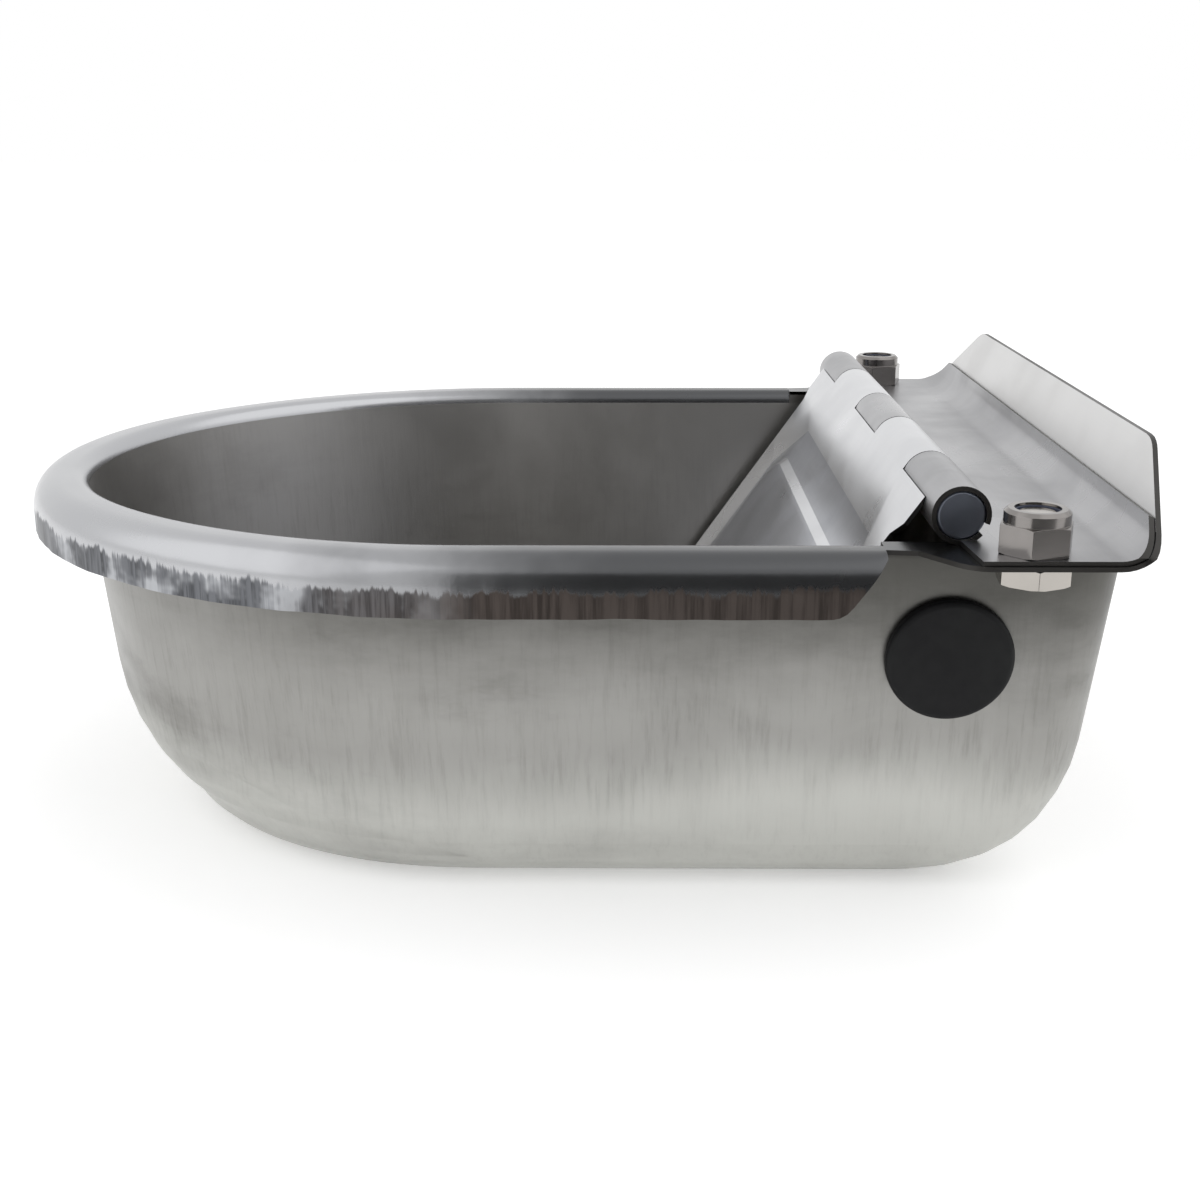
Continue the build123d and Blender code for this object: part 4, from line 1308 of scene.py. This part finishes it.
    def build(self) -> bpy.types.Object:
        """Make the bowl's mesh.

        Returns:
            The bowl.
        """
        draft = MeshDraft()
        columns, first, last = self.stations()
        self.add_body(draft, columns)
        rim_columns = columns[first:last + 1]
        upper = draft.grid(self.rim_rows(0.0, rim_columns), self.RIM)
        lower = draft.grid(self.rim_rows(self.sheet, rim_columns), self.RIM, flip=True)
        draft.strip(upper[-1], lower[-1], self.CUT)
        draft.strip([row[0] for row in upper], [row[0] for row in lower], self.CUT)
        draft.strip([row[-1] for row in upper], [row[-1] for row in lower], self.CUT, flip=True)
        self.add_collar(draft, columns[last:] + columns[:first + 1])
        self.add_ears(draft)
        self.add_rear_edge(draft)
        return draft.build("pressed_bowl", self.materials, self.sharp)


# ---------------------------------------------------------------- repeated pieces

class PairRepeater:
    """Geometry Nodes tree that sets copies of one piece along a line."""

    def __init__(self) -> None:
        """Build the node tree with its named inputs."""
        self.tree = bpy.data.node_groups.new("copies along a line", "GeometryNodeTree")
        face = self.tree.interface
        face.new_socket("Geometry", in_out="OUTPUT", socket_type="NodeSocketGeometry")
        self.inputs = {}
        for name, kind in (("Geometry", "NodeSocketGeometry"), ("Count", "NodeSocketInt"),
                           ("Step", "NodeSocketVector"), ("Material", "NodeSocketMaterial")):
            made = face.new_socket(name, in_out="INPUT", socket_type=kind)
            self.inputs[name] = made.identifier
        nodes, links = self.tree.nodes, self.tree.links
        source = nodes.new("NodeGroupInput")
        line = nodes.new("GeometryNodeMeshLine")
        line.mode = "OFFSET"
        place = nodes.new("GeometryNodeInstanceOnPoints")
        real = nodes.new("GeometryNodeRealizeInstances")
        dress = nodes.new("GeometryNodeSetMaterial")
        result = nodes.new("NodeGroupOutput")
        links.new(source.outputs["Count"], line.inputs["Count"])
        links.new(source.outputs["Step"], line.inputs["Offset"])
        links.new(line.outputs["Mesh"], place.inputs["Points"])
        links.new(source.outputs["Geometry"], place.inputs["Instance"])
        links.new(place.outputs["Instances"], real.inputs["Geometry"])
        links.new(real.outputs["Geometry"], dress.inputs["Geometry"])
        links.new(source.outputs["Material"], dress.inputs["Material"])
        links.new(dress.outputs["Geometry"], result.inputs["Geometry"])

    def along(self, piece: bpy.types.Object, count: int, step: Point,
              material: bpy.types.Material) -> bpy.types.Object:
        """Replace a piece's mesh by copies of it along a line.

        Args:
            piece: the piece, with the first copy's place in its mesh.
            count: number of copies.
            step: from one copy to the next, in metres.
            material: the copies' material.

        Returns:
            The piece.
        """
        repeat = piece.modifiers.new("copies", "NODES")
        repeat.node_group = self.tree
        repeat[self.inputs["Count"]] = count
        repeat[self.inputs["Step"]] = step
        repeat[self.inputs["Material"]] = material
        graph = bpy.context.evaluated_depsgraph_get()
        mesh = bpy.data.meshes.new_from_object(piece.evaluated_get(graph))
        piece.modifiers.clear()
        old = piece.data
        mesh.name = old.name
        piece.data = mesh
        bpy.data.meshes.remove(old)
        return piece


@dataclass
class Fasteners:
    """Ear bolts with their lock nuts, and the float's two nuts."""

    repeater: PairRepeater
    steel: bpy.types.Material
    # The nuts' steel is a darker copy of the bolts': painted shade.
    shaded_nut_steel: bpy.types.Material
    nylon: bpy.types.Material
    small_steel: bpy.types.Material
    edge_round: float = 0.00022
    sharp: float = 24.0

    def pair(self, node: str, name: str, material: bpy.types.Material) -> bpy.types.Object:
        """Make both pieces of a node from the one at its low end.

        Args:
            node: the CAD node with two like solids.
            name: the new piece's name.
            material: its material.

        Returns:
            The piece, both solids in one mesh.
        """
        low, high = (Vector(corner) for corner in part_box(node))
        middle = (low.x + high.x) / 2
        halves = [[v.co for v in frame["nodes"][node].data.vertices if (v.co.x > middle) == right]
                  for right in (False, True)]
        starts = [Vector(tuple(min(co[a] for co in half) for a in range(3))) for half in halves]
        piece = smooth_copy(node, name, material, self.sharp, self.edge_round,
                            keep=lambda co: co.x < middle)
        return self.repeater.along(piece, 2, tuple(starts[1] - starts[0]), material)

    def build(self) -> None:
        """Make and place every fastener."""
        for node, name, material, slot, body in (
                ("flange_bolts", "ear_bolts", self.steel, "fastener_steel", "bowl"),
                ("lock_nuts", "ear_lock_nuts", self.shaded_nut_steel, "fastener_steel", "bowl"),
                ("lock_nut_inserts", "ear_nut_rings", self.nylon, "nylon", "bowl"),
                ("float_nuts", "float_rod_nuts", self.small_steel, "small_steel", "float_arm")):
            stand_for(self.pair(node, name, material), node, slot, body)


@dataclass
class Hinge:
    """Cover bracket, rod and guard flap; metres and degrees."""

    bracket_steel: bpy.types.Material
    rod_steel: bpy.types.Material
    flap_steel: bpy.types.Material
    # The sunk panel's steel is a darker copy of the flap's: painted shade in the recess.
    shaded_panel_steel: bpy.types.Material
    # Near-black cut edges: painted shade.
    cut: bpy.types.Material

    # Slope of the closed flap; square to it, the flap's sunk field and the raised panel in the
    # field lie between these distances from the hinge's axis.
    flap_slope: float = 55.0
    field_low: float = 0.0035
    field_high: float = 0.0066

    edge_round: float = 0.0002
    sharp: float = 28.0

    def in_sunk_field(self, face: bmesh.types.BMFace) -> bool:
        """Whether a face of the flap lies in its sunk field or on the raised panel there.

        Args:
            face: a face of the closed flap.

        Returns:
            True for the flat faces inside the joggle.
        """
        slope = radians(self.flap_slope)
        out = Vector((0.0, -sin(slope), cos(slope)))
        hinge = next(joint for joint in frame["joints"] if joint["name"] == "flap_hinge")
        middle = face.calc_center_median() - Vector(hinge["pos_m"])
        return (face.normal.dot(out) > PARALLEL
                and self.field_low < middle.dot(out) < self.field_high)

    def build(self) -> None:
        """Make and place the three pieces."""
        for node, name, material, slot, body in (
                ("hinge_bracket", "cover_bracket", self.bracket_steel, "bracket_steel", "bowl"),
                ("hinge_rod", "hinge_bar", self.rod_steel, "rod_steel", "bowl"),
                ("guard_flap", "valve_guard_flap", self.flap_steel, "flap_steel", "flap")):
            flap = node == "guard_flap"
            piece = smooth_copy(node, name, material, self.sharp, self.edge_round,
                                shaded_edge_material=None if node == "hinge_rod" else self.cut,
                                shaded_sunk_material=self.shaded_panel_steel if flap else None,
                                is_sunk=self.in_sunk_field if flap else None)
            stand_for(piece, node, slot, body)


@dataclass
class InletAndValve:
    """Plug of the near inlet and the float valve at the far one."""

    rubber: bpy.types.Material
    seal: bpy.types.Material
    brass: bpy.types.Material
    fibre: bpy.types.Material
    small_steel: bpy.types.Material
    plastic: bpy.types.Material
    edge_round: float = 0.0002
    sharp: float = 28.0

    def build(self) -> None:
        """Make and place every piece of the valve."""
        rows = (
            ("inlet_plug", "side_plug", self.rubber, "plug_rubber", "bowl"),
            ("valve_body", "valve_casting", self.brass, "brass", "bowl"),
            ("inner_seal_washer", "shank_seal", self.seal, "seal_rubber", "bowl"),
            ("shank_ring", "shank_fibre_ring", self.fibre, "fibre", "bowl"),
            ("shank_nut", "shank_back_nut", self.brass, "brass", "bowl"),
            ("valve_seat", "valve_nozzle", self.brass, "brass", "bowl"),
            ("valve_plunger", "valve_piston", self.brass, "brass", "plunger"),
            ("plunger_seal", "piston_seal", self.seal, "seal_rubber", "plunger"),
            ("float_lever", "float_arm_lever", self.brass, "brass", "float_arm"),
            ("lever_pin", "lever_pivot_pin", self.small_steel, "small_steel", "bowl"),
            ("split_pin", "pivot_split_pin", self.small_steel, "small_steel", "bowl"),
            ("clamp_screw", "rod_clamp_screw", self.brass, "brass", "float_arm"),
            ("float_rod", "float_arm_rod", self.small_steel, "small_steel", "float_arm"),
            ("valve_float", "float_body", self.plastic, "float_plastic", "float_arm"),
        )
        for node, name, material, slot, body in rows:
            piece = smooth_copy(node, name, material, self.sharp, self.edge_round)
            stand_for(piece, node, slot, body)


# ---------------------------------------------------------------- studio

@dataclass(frozen=True)
class Softbox:
    """Square lamp; metres and watts."""

    name: str
    place: Point
    aim: Point
    size: float
    power: float


@dataclass
class Studio:
    """Pale floor, soft lamps, white surroundings and the camera; metres and degrees."""

    eye: Point = (0.4864, 0.0207, 0.1995)
    down: float = 16.99
    turn: float = -0.62
    roll: float = -0.08
    lens: float = 48.24
    sensor: float = 36.0
    floor_size: float = 12.0
    floor_colour: Colour = (0.93, 0.93, 0.93)
    floor_glow: float = 0.3
    surroundings: float = 0.86
    card_colour: Colour = (0.22, 0.22, 0.22)
    card_low: Point = (0.4, -0.06, 0.0)
    card_high: Point = (0.4, 0.5, 0.36)
    softboxes: tuple[Softbox, ...] = (
        Softbox("front softbox", (0.35, -0.75, 0.75), (0.0, -0.05, 0.08), 1.2, 1.8),
        Softbox("rear softbox", (0.2, 0.8, 0.95), (0.0, 0.05, 0.08), 1.4, 2.4))

    def build(self) -> None:
        """Make everything of the studio."""
        self.make_floor()
        self.make_card()
        self.make_world()
        self.make_lamps()
        self.make_camera()
        bpy.context.scene.view_settings.view_transform = "Standard"

    def add_panel(self, name: str, corners: Sequence[Point], tree: ShaderTree, colour: Colour,
                  roughness: float) -> bpy.types.Object:
        """Set up a flat, matt panel.

        Args:
            name: the panel's name.
            corners: its four corners.
            tree: its material.
            colour: the material's colour.
            roughness: the material's roughness.

        Returns:
            The panel.
        """
        mesh = bpy.data.meshes.new(name)
        mesh.from_pydata(corners, [], [(0, 1, 2, 3)])
        tree.socket("Base Color", colour)
        tree.socket("Roughness", roughness)
        tree.socket("Specular IOR Level", 0.0)
        mesh.materials.append(tree.material)
        return add_object(name, mesh)

    def make_floor(self) -> None:
        """Lay the pale floor under the bowl; it glows a little to the camera and reflections."""
        half = self.floor_size / 2
        corners = [(-half, -half, 0), (half, -half, 0), (half, half, 0), (-half, half, 0)]
        tree = ShaderTree("pale floor")
        floor = self.add_panel("studio_floor", corners, tree, self.floor_colour, 0.9)
        path = tree.nodes.new("ShaderNodeLightPath")
        seen = tree.math("MAXIMUM", path.outputs["Is Camera Ray"], path.outputs["Is Glossy Ray"])
        seen = tree.math("MAXIMUM", seen, path.outputs["Is Transmission Ray"])
        tree.socket("Emission Color", (1.0, 1.0, 1.0))
        tree.socket("Emission Strength", tree.math("MULTIPLY", seen, self.floor_glow))

    def make_card(self) -> None:
        """Stand a dark card by the camera that shows only in reflections."""
        low, high = self.card_low, self.card_high
        corners = [low, (high[0], high[1], low[2]), high, (low[0], low[1], high[2])]
        card = self.add_panel("dark_card", corners, ShaderTree("dark card"), self.card_colour, 1.0)
        card.visible_camera = False
        card.visible_diffuse = False
        card.visible_shadow = False
        card.visible_transmission = False

    def make_world(self) -> None:
        """White to the camera and in reflections, a little less as light on the bowl."""
        world = bpy.data.worlds.new("studio surroundings")
        world.use_nodes = True
        bpy.context.scene.world = world
        nodes, links = world.node_tree.nodes, world.node_tree.links
        light = nodes["Background"]
        light.inputs["Color"].default_value = (1.0, 1.0, 1.0, 1.0)
        path = nodes.new("ShaderNodeLightPath")
        seen = nodes.new("ShaderNodeMath")
        seen.operation = "MAXIMUM"
        links.new(path.outputs["Is Camera Ray"], seen.inputs[0])
        links.new(path.outputs["Is Transmission Ray"], seen.inputs[1])
        bright = nodes.new("ShaderNodeMath")
        bright.operation = "MAXIMUM"
        links.new(seen.outputs[0], bright.inputs[0])
        links.new(path.outputs["Is Glossy Ray"], bright.inputs[1])
        level = nodes.new("ShaderNodeMapRange")
        level.inputs["To Min"].default_value = self.surroundings
        level.inputs["To Max"].default_value = 1.0
        links.new(bright.outputs[0], level.inputs["Value"])
        links.new(level.outputs["Result"], light.inputs["Strength"])

    def make_lamps(self) -> None:
        """Set the soft lamps, one over the front and one over the rear."""
        for box in self.softboxes:
            lamp = bpy.data.lights.new(box.name, "AREA")
            lamp.shape = "SQUARE"
            lamp.size = box.size
            lamp.energy = box.power
            carrier = add_object(box.name, lamp)
            carrier.location = box.place
            ahead = Vector(box.aim) - Vector(box.place)
            carrier.rotation_euler = ahead.to_track_quat("-Z", "Y").to_euler()

    def make_camera(self) -> None:
        """Place the camera."""
        down, turn, roll = radians(self.down), radians(self.turn), radians(self.roll)
        ahead = Vector((-cos(down) * cos(turn), cos(down) * sin(turn), -sin(down)))
        right = ahead.cross(Vector((0, 0, 1))).normalized()
        up = right.cross(ahead)
        tilted = right * cos(roll) + up * sin(roll)
        above = up * cos(roll) - right * sin(roll)
        camera = bpy.data.cameras.new("camera")
        camera.lens = self.lens
        camera.sensor_width = self.sensor
        carrier = add_object("camera", camera)
        turned = Matrix((tilted, above, -ahead)).transposed()
        carrier.matrix_world = Matrix.Translation(Vector(self.eye)) @ turned.to_4x4()
        bpy.context.scene.camera = carrier


# ---------------------------------------------------------------- all together

def main() -> None:
    """Build the bowl, its hinge, valve and fasteners, and the studio round them."""
    logging.basicConfig(level=logging.INFO, format="%(message)s")
    bowl_steels = make_materials(OUTSIDE_STEEL, INSIDE_STEEL, RIM_STEEL, LIT_REAR_EDGE_STEEL, SHADED_CUT_EDGE)
    bracket_steel, flap_steel, shaded_panel_steel = make_materials(BRACKET_STEEL, FLAP_STEEL, SHADED_PANEL_STEEL)
    rod_steel, bright, shaded_nut_steel, small_steel = make_materials(ROD_STEEL, BRIGHT_STEEL, SHADED_NUT_STEEL,
                                                               SMALL_STEEL)
    rubber, seal, nylon = make_materials(BLACK_RUBBER, SEAL_RUBBER, DARK_NYLON)
    brass, fibre, plastic = make_materials(TURNED_BRASS, RED_FIBRE, FLOAT_PLASTIC)

    bowl = BowlShell(materials=bowl_steels).build()
    stand_for(bowl, "bowl_shell", "bowl_steel", "bowl")
    Hinge(bracket_steel, rod_steel, flap_steel, shaded_panel_steel,
          bowl_steels[BowlShell.CUT]).build()
    Fasteners(PairRepeater(), bright, shaded_nut_steel, nylon, small_steel).build()
    InletAndValve(rubber, seal, brass, fibre, small_steel, plastic).build()
    Studio().build()


if __name__ == "__main__":
    main()
